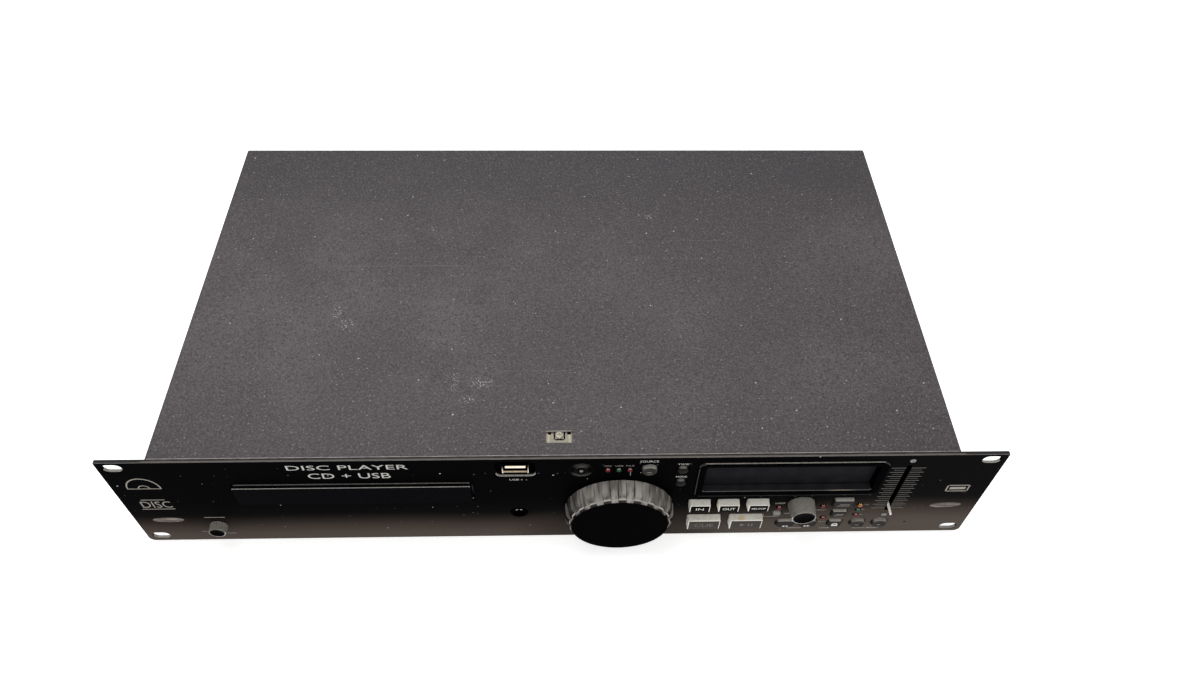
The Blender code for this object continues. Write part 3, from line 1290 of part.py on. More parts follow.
def tray_drive(look):
    """The tray gear with its belt wheel, the belt, the motor's pulley and the loading motor."""
    spot = (GEAR_X, depth(GEAR_SETBACK))
    phase = math.pi + math.pi / GEAR_TEETH
    groove = WHEEL_RADIUS - WHEEL_GROOVE
    low, high = WHEEL_TOP - WHEEL_THICKNESS, WHEEL_TOP
    gap_low, gap_high = BELT_Z - WHEEL_GROOVE_HEIGHT / 2, BELT_Z + WHEEL_GROOVE_HEIGHT / 2
    gear = Piece(
        "tray_gear",
        look["natural_plastic"],
        prism(gear_outline(spot, GEAR_MODULE, GEAR_TEETH, phase), "z",
        WHEEL_TOP - WHEEL_GROOVE_HEIGHT / 2, GEAR_TOP),
        (*spot, BELT_Z),
    )
    levels = ((low, WHEEL_RADIUS), (gap_low, WHEEL_RADIUS), (gap_low + SEAT, groove),
            (gap_high - SEAT, groove), (gap_high, WHEEL_RADIUS), (high, WHEEL_RADIUS))
    gear.join(turned(spot, "z", levels))
    bore = GEAR_PIN_RADIUS + SEAT
    gear.cut(turned(spot, "z", ((low - OVERRUN, bore), (GEAR_TOP + OVERRUN, bore)), SMALL_STEPS))
    gear.make()
    pulley_spot = (PULLEY_X, depth(PULLEY_SETBACK))
    pulley_groove = PULLEY_RADIUS - WHEEL_GROOVE
    pulley_levels = [(level, pulley_groove if radius == groove else PULLEY_RADIUS) for level,
            radius in levels]
    pulley = Piece("motor_pulley", look["white_plastic"], turned(pulley_spot, "z", pulley_levels,
            SMALL_STEPS), (*pulley_spot, BELT_Z))
    shaft_bore = MOTOR_SHAFT_RADIUS + SEAT
    pulley.cut(turned(pulley_spot, "z", ((low - OVERRUN, shaft_bore), (high + OVERRUN, shaft_bore)),
            SMALL_STEPS))
    pulley.make()
    outer = belt_outline(spot, groove + SEAT + BELT_THICKNESS, pulley_spot,
            pulley_groove + SEAT + BELT_THICKNESS, SMALL_STEPS)
    inner = belt_outline(spot, groove + SEAT, pulley_spot, pulley_groove + SEAT, SMALL_STEPS)
    belt_low, belt_high = BELT_Z - BELT_THICKNESS / 2, BELT_Z + BELT_THICKNESS / 2
    belt = Piece("drive_belt", look["rubber"], prism(outer, "z", belt_low, belt_high))
    belt.cut(prism(inner, "z", belt_low - OVERRUN, belt_high + OVERRUN))
    belt.make()
    can_top = LOADER_FLOOR_TOP - LOADER_FLOOR - SEAT
    motor = Piece("loading_motor", look["steel"], turned(pulley_spot, "z",
            ((can_top - MOTOR_HEIGHT, MOTOR_RADIUS), (can_top, MOTOR_RADIUS))))
    motor.join(turned(pulley_spot, "z", ((can_top - OVERRUN, MOTOR_SHAFT_RADIUS),
            (high, MOTOR_SHAFT_RADIUS)), SMALL_STEPS))
    motor.make()


def loader_frame(look):
    """The frame that carries the tray, gears, deck and clamp, with its rails, bridge and legs."""
    x = TRAY_X
    start, end = depth(LOADER_START), depth(LOADER_START + LOADER_LENGTH)
    floor_top, floor_bottom = LOADER_FLOOR_TOP, LOADER_FLOOR_TOP - LOADER_FLOOR
    outer = LOADER_HALF + LOADER_WALL
    wall_top = TRAY_TOP + SEAT + LOADER_TAB_THICKNESS
    bridge_start = depth(WELL_SETBACK) - BRIDGE_LENGTH / 2
    frame = Piece("loader_frame", look["black_plastic"], box((x - outer, start, floor_bottom),
            (x + outer, end, floor_top)))
    ledge_top = TRAY_BOTTOM - SEAT
    tab = TRAY_TOP + SEAT
    for side in (-1, 1):
        def between(inner, wide, y0, y1, z0, z1):
            sides = sorted((x + side * inner, x + side * wide))
            return box((sides[0], y0, z0), (sides[1], y1, z1))

        ledge = LOADER_HALF - LOADER_LEDGE
        tab_start = depth(LOADER_TAB_SETBACK)
        frame.join(
            between(LOADER_HALF, outer, start, end, floor_bottom, wall_top),
            between(ledge, outer, start, end, ledge_top - LOADER_LEDGE_THICKNESS, ledge_top),
            between(ledge, outer, start, start + LOADER_TAB_LENGTH, tab, wall_top),
            between(ledge, outer, tab_start, tab_start + LOADER_TAB_LENGTH, tab, wall_top),
            between(LOADER_HALF, outer, bridge_start, bridge_start + BRIDGE_LENGTH,
            wall_top - LOADER_FLOOR, BRIDGE_TOP),
        )
        lug = DECK_WIDTH / 2 + TRUNNION_LENGTH / 4
        hinge = (depth(HINGE_SETBACK), HINGE_Z)
        frame.join(
            between(lug, lug + LUG_THICKNESS, hinge[0] - LUG_LENGTH / 2, hinge[0] + LUG_LENGTH / 2,
            floor_bottom, HINGE_Z + LUG_RISE)
        )
        for y in (start + LOADER_LEG_INSET, end - LOADER_LEG_INSET):
            leg_x = x + side * (outer - LOADER_LEG_INSET)
            frame.join(turned((leg_x, y), "z", ((FLOOR_Z + SEAT, LOADER_LEG_RADIUS),
                    (floor_bottom + LOADER_FLOOR / 2, LOADER_LEG_RADIUS)), SMALL_STEPS))
    frame.join(
        box((x - outer, bridge_start, BRIDGE_BOTTOM), (x + outer, bridge_start + BRIDGE_LENGTH,
        BRIDGE_TOP)),
        stepped_pin(
            (GEAR_X, depth(GEAR_SETBACK)),
            floor_bottom + LOADER_FLOOR / 2,
            WHEEL_TOP - WHEEL_THICKNESS - SEAT,
            GEAR_TOP,
            BOSS_RADIUS,
            GEAR_PIN_RADIUS,
        ),
    )
    window = (x - LOADER_WINDOW_WIDTH / 2, x + LOADER_WINDOW_WIDTH / 2)
    window_start, window_end = depth(LOADER_WINDOW_START), depth(LOADER_WINDOW_START + LOADER_WINDOW_LENGTH)
    hinge_outline = circle((depth(HINGE_SETBACK), HINGE_Z), TRUNNION_RADIUS + SEAT, SMALL_STEPS)
    reach = DECK_WIDTH / 2 + TRUNNION_LENGTH + LUG_THICKNESS
    frame.cut(
        box((window[0], window_start, floor_bottom - OVERRUN),
        (window[1], window_end, floor_top + OVERRUN)),
        turned((PULLEY_X, depth(PULLEY_SETBACK)), "z", ((floor_bottom - OVERRUN, MOTOR_SHAFT_RADIUS * 2),
        (floor_top + OVERRUN, MOTOR_SHAFT_RADIUS * 2)), SMALL_STEPS),
        turned((x, depth(WELL_SETBACK)), "z", ((BRIDGE_BOTTOM - OVERRUN, CLAMP_NECK_RADIUS + RUN),
        (BRIDGE_TOP + OVERRUN, CLAMP_NECK_RADIUS + RUN))),
        prism(hinge_outline, "x", x - reach, x + reach),
    )
    return frame.make()


def clamp(look):
    """The disc clamp, which hangs in the bridge's hole and turns with the disc."""
    centre = (TRAY_X, depth(WELL_SETBACK))
    bottom = DISC_REST + DISC_THICKNESS + SEAT
    cap_bottom = BRIDGE_TOP + SEAT
    cap_top = cap_bottom + CLAMP_CAP_THICKNESS
    puck = Piece(
        "clamp_puck",
        look["white_plastic"],
        turned(centre, "z", ((bottom, CLAMP_RADIUS), (bottom + CLAMP_FLANGE, CLAMP_RADIUS))),
        (*centre, bottom),
    )
    puck.join(
        turned(centre, "z", ((bottom + CLAMP_FLANGE / 2, CLAMP_NECK_RADIUS), (cap_top, CLAMP_NECK_RADIUS))),
        turned(centre, "z", ((cap_bottom, CLAMP_CAP_RADIUS), (cap_top, CLAMP_CAP_RADIUS))),
    )
    puck.cut(turned(centre, "z", ((bottom - OVERRUN, CLAMP_RECESS_RADIUS),
            (bottom + CLAMP_RECESS_DEPTH, CLAMP_RECESS_RADIUS))))
    puck.make()


def deck(look):
    """The tilting deck frame with its rods, the spindle motor, turntable, pickup and sled gear."""
    x = TRAY_X
    half = DECK_WIDTH / 2
    start, end = depth(DECK_START), depth(DECK_START + DECK_LENGTH)
    hinge = (x, depth(HINGE_SETBACK), HINGE_Z)
    spindle = (x, depth(WELL_SETBACK))
    inside = DECK_BOTTOM + DECK_THICKNESS / 2
    frame = Piece("deck_frame", look["grey_plastic"], box((x - half, start, DECK_BOTTOM),
            (x + half, end, DECK_TOP)), hinge)
    trunnion = circle(hinge[1:], TRUNNION_RADIUS, SMALL_STEPS)
    frame.join(prism(trunnion, "x", x - half - TRUNNION_LENGTH, x + half + TRUNNION_LENGTH))
    for side in (-1, 1):
        rod_x = x + side * ROD_OFFSET
        rod_start, rod_end = depth(ROD_START + POST_LENGTH / 2), depth(ROD_END - POST_LENGTH / 2)
        frame.join(prism(circle((rod_x, ROD_Z), ROD_RADIUS, SMALL_STEPS), "y", rod_start, rod_end))
        for post in (ROD_START, ROD_END - POST_LENGTH):
            frame.join(
                box(
                    (rod_x - POST_WIDTH / 2, depth(post), inside),
                    (rod_x + POST_WIDTH / 2, depth(post + POST_LENGTH), ROD_Z + 2 * ROD_RADIUS - SEAT),
                )
            )
    sled_spot = (SLED_GEAR_X, depth(SLED_GEAR_SETBACK))
    shoulder, pin_top = ROD_Z - SLED_GEAR_THICKNESS / 2 - SEAT, ROD_Z + SLED_GEAR_THICKNESS / 2
    frame.join(stepped_pin(sled_spot, inside, shoulder, pin_top, 2 * SLED_PIN_RADIUS, SLED_PIN_RADIUS))
    window_start, window_end = depth(DECK_WINDOW_START), depth(DECK_WINDOW_START + DECK_WINDOW_LENGTH)
    frame.cut(
        box((x - DECK_WINDOW_WIDTH / 2 + POST_WIDTH, window_start, DECK_BOTTOM - OVERRUN),
        (x + DECK_WINDOW_WIDTH / 2 - POST_WIDTH, window_end, DECK_TOP + OVERRUN)),
        turned(spindle, "z", ((DECK_BOTTOM - OVERRUN, HUB_RADIUS + RUN),
        (DECK_TOP + OVERRUN, HUB_RADIUS + RUN))),
    )
    frame.make()
    can_top = DECK_BOTTOM - SEAT
    motor = Piece(
        "spindle_motor",
        look["steel"],
        turned(spindle, "z", ((can_top - SPINDLE_MOTOR_HEIGHT, SPINDLE_MOTOR_RADIUS),
        (can_top, SPINDLE_MOTOR_RADIUS))),
        (*spindle, can_top),
        parent=frame,
    )
    motor.join(turned(spindle, "z", ((can_top - OVERRUN, SPINDLE_SHAFT_RADIUS),
            (DISC_REST, SPINDLE_SHAFT_RADIUS)), SMALL_STEPS))
    motor.make()
    hub_bottom = DECK_TOP + SEAT
    platter_bottom = DISC_REST - PLATTER_THICKNESS
    turntable = Piece(
        "turntable",
        look["black_plastic"],
        turned(spindle, "z", ((platter_bottom, PLATTER_RADIUS), (DISC_REST, PLATTER_RADIUS))),
        (*spindle, DISC_REST),
        parent=frame,
    )
    turntable.join(
        turned(spindle, "z", ((hub_bottom, HUB_RADIUS), (DISC_REST - PLATTER_THICKNESS / 2, HUB_RADIUS)),
        SMALL_STEPS),
        turned(spindle, "z", ((DISC_REST - PLATTER_THICKNESS / 2, CONE_RADIUS),
        (DISC_REST + DISC_THICKNESS, CONE_RADIUS), (DISC_REST + CONE_HEIGHT, CONE_TOP_RADIUS))),
    )
    bore = SPINDLE_SHAFT_RADIUS + SEAT
    turntable.cut(turned(spindle, "z", ((hub_bottom - OVERRUN, bore), (DISC_REST + SEAT, bore)),
            SMALL_STEPS))
    turntable.make()
    pickup(look, frame)
    gear_low, gear_high = ROD_Z - SLED_GEAR_THICKNESS / 2, ROD_Z + SLED_GEAR_THICKNESS / 2
    phase = math.pi + math.pi / SLED_TEETH
    gear = Piece(
        "sled_gear",
        look["natural_plastic"],
        prism(gear_outline(sled_spot, SLED_MODULE, SLED_TEETH, phase), "z", gear_low, gear_high),
        (*sled_spot, ROD_Z),
        parent=frame,
    )
    gear.cut(turned(sled_spot, "z", ((gear_low - OVERRUN, SLED_PIN_RADIUS + SEAT),
            (gear_high + OVERRUN, SLED_PIN_RADIUS + SEAT)), SMALL_STEPS))
    gear.make()


def pickup(look, frame):
    """The laser pickup on its two rods, with its lens and the rack that the sled gear drives."""
    x = TRAY_X
    start, end = depth(PICKUP_START), depth(PICKUP_START + PICKUP_LENGTH)
    low, high = ROD_Z - PICKUP_HEIGHT / 2, ROD_Z + PICKUP_HEIGHT / 2
    edge = ROD_OFFSET + PICKUP_EAR / 2
    body = Piece("pickup", look["dark_grey_plastic"], box((x - edge, start, low), (x + edge, end, high)),
            (x, start, ROD_Z), parent=frame)
    lens = (x, (start + end) / 2)
    body.join(turned(lens, "z", ((high - OVERRUN, LENS_RADIUS), (high + LENS_HEIGHT, LENS_RADIUS)),
            SMALL_STEPS))
    rack_end = depth(SLED_RACK_END)
    pitch_line = SLED_GEAR_X - SLED_RADIUS
    teeth = rack_outline(pitch_line, x + edge - OVERRUN, start, rack_end, SLED_MODULE,
            depth(SLED_GEAR_SETBACK))
    body.join(prism(teeth, "z", ROD_Z - SLED_GEAR_THICKNESS / 2, ROD_Z + SLED_GEAR_THICKNESS / 2))
    bore = circle((x - ROD_OFFSET, ROD_Z), ROD_RADIUS + SEAT, SMALL_STEPS)
    body.cut(prism(bore, "y", start - OVERRUN, end + OVERRUN))
    fork_height = ROD_RADIUS + SEAT
    body.cut(
        box(
            (x + ROD_OFFSET - ROD_RADIUS - SEAT, start - OVERRUN, low - OVERRUN),
            (x + ROD_OFFSET + ROD_RADIUS + SEAT, end + OVERRUN, ROD_Z + fork_height),
        )
    )
    body.make()


# Boards, transformer and rear sockets.


def board_with_parts(name, look, left, width, start, length, boxes, cans, radius, height):
    """A board on its bosses, with its chips, connectors and capacitors soldered on."""
    y = depth(start)
    top = BOARD_REST + BOARD_THICKNESS
    inside = BOARD_REST + BOARD_THICKNESS / 2
    board = Piece(name, look, box((left, y, BOARD_REST), (left + width, y + length, top)))
    for left_share, start_share, width_share, length_share, tall in boxes:
        low = (left + left_share * width, y + start_share * length, inside)
        board.join(box(low, (low[0] + width_share * width, low[1] + length_share * length, top + tall)))
    for across_share, along_share in cans:
        spot = (left + across_share * width, y + along_share * length)
        board.join(turned(spot, "z", ((inside, radius), (top + height, radius)), SMALL_STEPS))
    return board.make()


def transformer(look):
    """The mains transformer: laminated core, coil and mounting strap, standing on the floor."""
    x, y = TRANSFORMER_X, depth(TRANSFORMER_SETBACK)
    bottom = FLOOR_Z + SEAT
    middle = bottom + CORE_HEIGHT / 2
    low_coil, high_coil = middle - COIL_HEIGHT / 2, middle + COIL_HEIGHT / 2
    core = Piece(
        "transformer",
        look["steel"],
        box((x - CORE_WIDTH / 2, y - CORE_LENGTH / 2, bottom),
        (x + CORE_WIDTH / 2, y + CORE_LENGTH / 2, bottom + CORE_HEIGHT)),
    )
    coil = rectangle((x, (low_coil + high_coil) / 2), COIL_WIDTH, COIL_HEIGHT, CORE_LENGTH / 4)
    core.join(
        prism(coil, "y", y - COIL_LENGTH / 2, y + COIL_LENGTH / 2),
        box((x - STRAP_WIDTH / 2, y - CORE_LENGTH / 2 + STRAP_THICKNESS, bottom),
        (x + STRAP_WIDTH / 2, y + CORE_LENGTH / 2 - STRAP_THICKNESS, bottom + STRAP_THICKNESS)),
    )
    for side in (-1, 1):
        spot = (x + side * (STRAP_WIDTH + CORE_WIDTH) / 4, y)
        core.cut(turned(spot, "z", ((bottom - OVERRUN, BRACKET_SCREW_HOLE),
                (bottom + STRAP_THICKNESS + OVERRUN, BRACKET_SCREW_HOLE)), SMALL_STEPS))
    core.make()


def power_inlet(look):
    """The mains inlet with three pins and the well for its switch."""
    outside = depth(CASE_DEPTH) + SEAT
    flange_back = outside + INLET_FLANGE
    body_front = depth(CASE_DEPTH) - INLET_DEPTH
    spot = (INLET_X, INLET_Z)
    body_width, body_height = INLET_WIDTH - 2 * INLET_LIP, INLET_HEIGHT - 2 * INLET_LIP
    inlet = Piece("power_inlet", look["black_plastic"],
            prism(rectangle(spot, INLET_WIDTH, INLET_HEIGHT, INLET_CORNER), "y", outside, flange_back))
    inlet.join(prism(rectangle(spot, body_width, body_height), "y", body_front, outside + INLET_FLANGE / 2))
    well = (INLET_X - INLET_WELL_OFFSET, INLET_Z)
    well_floor = flange_back - INLET_WELL_DEPTH
    bay = rectangle((ROCKER_X, INLET_Z), ROCKER_WIDTH + 2 * SEAT, 2 * ROCKER_BAY_HALF)
    inlet.cut(
        prism(rectangle(well, INLET_WELL_WIDTH, INLET_WELL_HEIGHT, INLET_WELL_CORNER), "y", well_floor,
        flange_back + OVERRUN),
        prism(bay, "y", flange_back - ROCKER_WELL_DEPTH, flange_back + OVERRUN),
        prism(
            circle((ROCKER_Y, INLET_Z), ROCKER_PIN_RADIUS + SEAT, SMALL_STEPS),
            "x",
            ROCKER_X - ROCKER_WIDTH / 2 - ROCKER_PIN_LENGTH - SEAT,
            ROCKER_X + ROCKER_WIDTH / 2 + ROCKER_PIN_LENGTH + SEAT,
        ),
    )
    for side, rise in ((-1, -1), (1, -1), (0, 1)):
        pin = rectangle((well[0] + side * PIN_SPACING, INLET_Z + rise * PIN_RISE), PIN_THICKNESS,
                PIN_HEIGHT)
        inlet.join(prism(pin, "y", well_floor - OVERRUN, flange_back - PIN_SETBACK))
    inlet.make()


def power_rocker(look):
    """The rocker of the mains switch, tipped to off, on two short pins."""
    corners = (
        (ROCKER_FRONT, -ROCKER_HALF),
        (ROCKER_DIP, 0),
        (ROCKER_FRONT, ROCKER_HALF),
        (-ROCKER_BACK / 2, ROCKER_HALF - ROCKER_FRONT),
        (-ROCKER_BACK, 0),
        (-ROCKER_BACK / 2, ROCKER_FRONT - ROCKER_HALF),
    )
    cosine, sine = math.cos(ROCKER_TILT), math.sin(ROCKER_TILT)
    outline = [(ROCKER_Y + a * cosine - b * sine, INLET_Z + a * sine + b * cosine) for a, b in corners]
    left, right = ROCKER_X - ROCKER_WIDTH / 2, ROCKER_X + ROCKER_WIDTH / 2
    rocker = Piece("power_rocker", look["black_plastic"], prism(outline, "x", left, right),
            (ROCKER_X, ROCKER_Y, INLET_Z))
    pins = circle((ROCKER_Y, INLET_Z), ROCKER_PIN_RADIUS, SMALL_STEPS)
    rocker.join(prism(pins, "x", left - ROCKER_PIN_LENGTH, right + ROCKER_PIN_LENGTH))
    rocker.make()


def barrel_places():
    return [OUTPUT_X + BARREL_SPACING * (i - (BARRELS - 1) / 2) for i in range(BARRELS)]


def output_sockets(look):
    """A block of coaxial output sockets, whose barrels reach out through the rear panel."""
    inside = depth(CASE_DEPTH - REAR_SHEET) - SEAT
    end = depth(CASE_DEPTH) + BARREL_LENGTH
    half = BARREL_SPACING * BARRELS / 2
    block = Piece(
        "output_sockets",
        look["black_plastic"],
        box((OUTPUT_X - half, inside - OUTPUT_LENGTH, BOARD_REST + BOARD_THICKNESS + SEAT),
        (OUTPUT_X + half, inside, OUTPUT_Z + OUTPUT_HEIGHT / 2)),
    )
    for x in barrel_places():
        block.join(turned((x, OUTPUT_Z), "y", ((inside - SHEET, BARREL_RADIUS), (end, BARREL_RADIUS))))
        block.cut(turned((x, OUTPUT_Z), "y", ((inside, BARREL_BORE), (end + OVERRUN, BARREL_BORE)),
                SMALL_STEPS))
    block.make()


def main():
    for old in list(bpy.data.objects):
        bpy.data.objects.remove(old, do_unlink=True)
    look = finishes()
    chassis_pan(look)
    top_cover(look)
    rear_panel(look)
    feet(look)
    centre_bracket(look)
    front_panel(look)
    display(look)
    front_board(look)
    make_buttons(look)
    jog_wheel(look)
    knobs(look)
    pitch_fader(look)
    front_sockets(look)
    tray(look)
    tray_drive(look)
    loader_frame(look)
    clamp(look)
    deck(look)
    board_with_parts(
        "main_board", look["board"], MAIN_BOARD_LEFT, MAIN_BOARD_WIDTH, MAIN_BOARD_START, MAIN_BOARD_LENGTH,
        MAIN_PART_SHARES, MAIN_CAN_SHARES, SMALL_CAN_RADIUS, SMALL_CAN_HEIGHT,
    )
    board_with_parts(
        "power_board", look["board"], POWER_BOARD_LEFT, POWER_BOARD_WIDTH, POWER_BOARD_START,
        POWER_BOARD_LENGTH,
        POWER_PART_SHARES, POWER_CAN_SHARES, CAN_RADIUS, CAN_HEIGHT,
    )
    transformer(look)
    power_inlet(look)
    power_rocker(look)
    output_sockets(look)


main()
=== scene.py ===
import json
import math

import bmesh
import bpy
from mathutils import Matrix, Vector
from mathutils.geometry import delaunay_2d_cdt


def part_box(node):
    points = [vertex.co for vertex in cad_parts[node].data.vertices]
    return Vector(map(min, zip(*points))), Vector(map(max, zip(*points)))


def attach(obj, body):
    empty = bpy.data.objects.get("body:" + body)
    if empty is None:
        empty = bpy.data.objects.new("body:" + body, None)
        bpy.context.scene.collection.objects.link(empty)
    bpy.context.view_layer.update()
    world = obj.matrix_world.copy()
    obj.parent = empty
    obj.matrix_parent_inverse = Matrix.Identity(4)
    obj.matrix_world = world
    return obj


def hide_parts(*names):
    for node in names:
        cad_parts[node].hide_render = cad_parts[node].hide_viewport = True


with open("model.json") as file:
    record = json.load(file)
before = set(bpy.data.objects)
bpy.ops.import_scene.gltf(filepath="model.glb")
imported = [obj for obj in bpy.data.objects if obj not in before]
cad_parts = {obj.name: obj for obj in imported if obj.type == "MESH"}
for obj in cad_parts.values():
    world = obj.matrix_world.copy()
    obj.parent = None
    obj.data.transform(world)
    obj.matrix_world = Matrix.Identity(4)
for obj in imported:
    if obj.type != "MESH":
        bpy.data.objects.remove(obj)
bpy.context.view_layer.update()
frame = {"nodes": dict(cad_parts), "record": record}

scene = bpy.context.scene
nodes = frame["nodes"]
record = frame["record"]
BODY_OF = {node: body for body, held in record["behaviour"]["bodies"].items() for node in held}
SLOT_OF = {part["node"]: part["material_slot"] for part in record["subparts"]}


# Shapes are in millimetres until as_mesh makes them metres; outlines are X and Z points.

MM = 0.001
HAIR = 0.001
FINE = 96
CORNER = 8
EASE_STEPS = 4
SHARP = math.radians(35)
TO_METRES = Matrix.Scale(MM, 4)
QUARTERS = ((1, 1), (-1, 1), (-1, -1), (1, -1))


def circle(centre, radius, steps=FINE):
    turn = math.tau / steps
    return [(centre[0] + radius * math.cos(turn * i), centre[1] + radius * math.sin(turn * i))
            for i in range(steps)]


def rectangle(centre, width, height, corner=0.0, lower=None):
    """A rectangle with rounded corners, and others below if asked; always as many points."""
    points = []
    for quarter, (side, up) in enumerate(QUARTERS):
        radius = corner if up > 0 or lower is None else lower
        radius = max(0.0, min(radius, width / 2, height / 2))
        x = centre[0] + side * (width / 2 - radius)
        z = centre[1] + up * (height / 2 - radius)
        for step in range(CORNER + 1):
            angle = (quarter + step / CORNER) * math.pi / 2
            points.append((x + radius * math.cos(angle), z + radius * math.sin(angle)))
    return points


class Box:
    """A CAD node's box: its sides, its size and its middle."""

    def __init__(self, node):
        low, high = ([side / MM for side in corner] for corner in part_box(node))
        self.left, self.front, self.low = low
        self.right, self.back, self.top = high
        self.wide, self.deep, self.tall = (b - a for a, b in zip(low, high))
        self.middle = ((self.left + self.right) / 2, (self.low + self.top) / 2)

    def outline(self, grow, corner, wider=0.0, taller=0.0):
        """Its rounded outline, grown on every side."""
        return rectangle(self.middle, self.wide + wider + 2 * grow, self.tall + taller + 2 * grow, corner)


PANEL = Box("front_panel")
COVER = Box("top_cover")
FACE = PANEL.front


def at(x, z):
    """A place on the panel: right of its middle and up from its lower edge."""
    return x, PANEL.low + z


# Camera, light and floor.

SENSOR_WIDTH = 36.0
LENS = 27.496
SHIFT = (0.00636, -0.02303)
CAMERA_PLACE = (0.004575, -0.37459, 0.50795)
CAMERA_TURN = (0.70084385, -0.01863758, -0.02267814)
CLIP_START = 0.01
ROOM_LIGHT = 0.55
SOFT_BOXES = (("overhead", (-0.25, 0.35, 1.5), 1.2, 14), ("front", (0.5, -1.4, 1.0), 0.8, 5))
FLOOR_HALF = 3.0
FLOOR_GLOW = 0.55
WHITE = (1, 1, 1, 1)


def placed(name, data):
    """A new object in the scene."""
    made = bpy.data.objects.new(name, data)
    scene.collection.objects.link(made)
    return made


def camera():
    lens = bpy.data.cameras.new("camera")
    lens.sensor_fit = "HORIZONTAL"
    lens.sensor_width = SENSOR_WIDTH
    lens.lens = LENS
    lens.shift_x, lens.shift_y = SHIFT
    lens.clip_start = CLIP_START
    stand = placed("camera", lens)
    stand.location = CAMERA_PLACE
    stand.rotation_euler = CAMERA_TURN
    scene.camera = stand


def studio():
    """A white room, a broad soft box overhead and a small one in front, and a white floor."""
    room = bpy.data.worlds.new("room")
    room.use_nodes = True
    backdrop = room.node_tree.nodes["Background"].inputs
    backdrop["Color"].default_value = WHITE
    backdrop["Strength"].default_value = ROOM_LIGHT
    scene.world = room
    scene.view_settings.view_transform = "Standard"
    for name, place, width, power in SOFT_BOXES:
        box = bpy.data.lights.new(name, "AREA")
        box.size = width
        box.energy = power
        lamp = placed(name, box)
        lamp.location = place
        lamp.rotation_euler = (-Vector(place)).to_track_quat("-Z", "Y").to_euler()
    mesh = bpy.data.meshes.new("floor")
    corners = [(x * FLOOR_HALF, y * FLOOR_HALF, 0) for x, y in QUARTERS]
    mesh.from_pydata(corners, [], [(0, 1, 2, 3)])
    paper = Finish("floor paper", "", (255, 255, 255), 0.9, 0.0)
    paper.shader.inputs["Emission Color"].default_value = WHITE
    paper.shader.inputs["Emission Strength"].default_value = FLOOR_GLOW
    mesh.materials.append(paper.material)
    plane = placed("floor", mesh)


# Finishes.


def seen(red, green, blue):
    """A colour given as it shows in a picture, 0 to 255, as the shader's linear values."""
    def linear(value):
        value = value / 255
        return value / 12.92 if value < 0.04045 else ((value + 0.055) / 1.055) ** 2.4
    return linear(red), linear(green), linear(blue), 1.0


class Graph:
    """A node tree that grows one node at a time."""

    def node(self, kind, sources=(), **settings):
        """A new node with its settings; sources feed its first inputs in order, or by name."""
        made = self.nodes.new(kind)
        for name, value in settings.items():
            setattr(made, name, value)
        if isinstance(sources, dict):
            sources = {made.inputs[key]: source for key, source in sources.items()}.items()
        else:
            sources = zip(made.inputs, sources)
        for socket, source in sources:
            if isinstance(source, bpy.types.NodeSocket):
                self.links.new(source, socket)
            elif source is not None:
                socket.default_value = source
        return made

    def sums(self, operation, *sources):
        return self.node("ShaderNodeMath", sources, operation=operation).outputs[0]

    def times(self, *sources):
        return self.sums("MULTIPLY", *sources)

    def smooth(self, *sources):
        """Maps a value smoothly from one span onto another."""
        return self.node("ShaderNodeMapRange", sources, interpolation_type="SMOOTHSTEP").outputs[0]


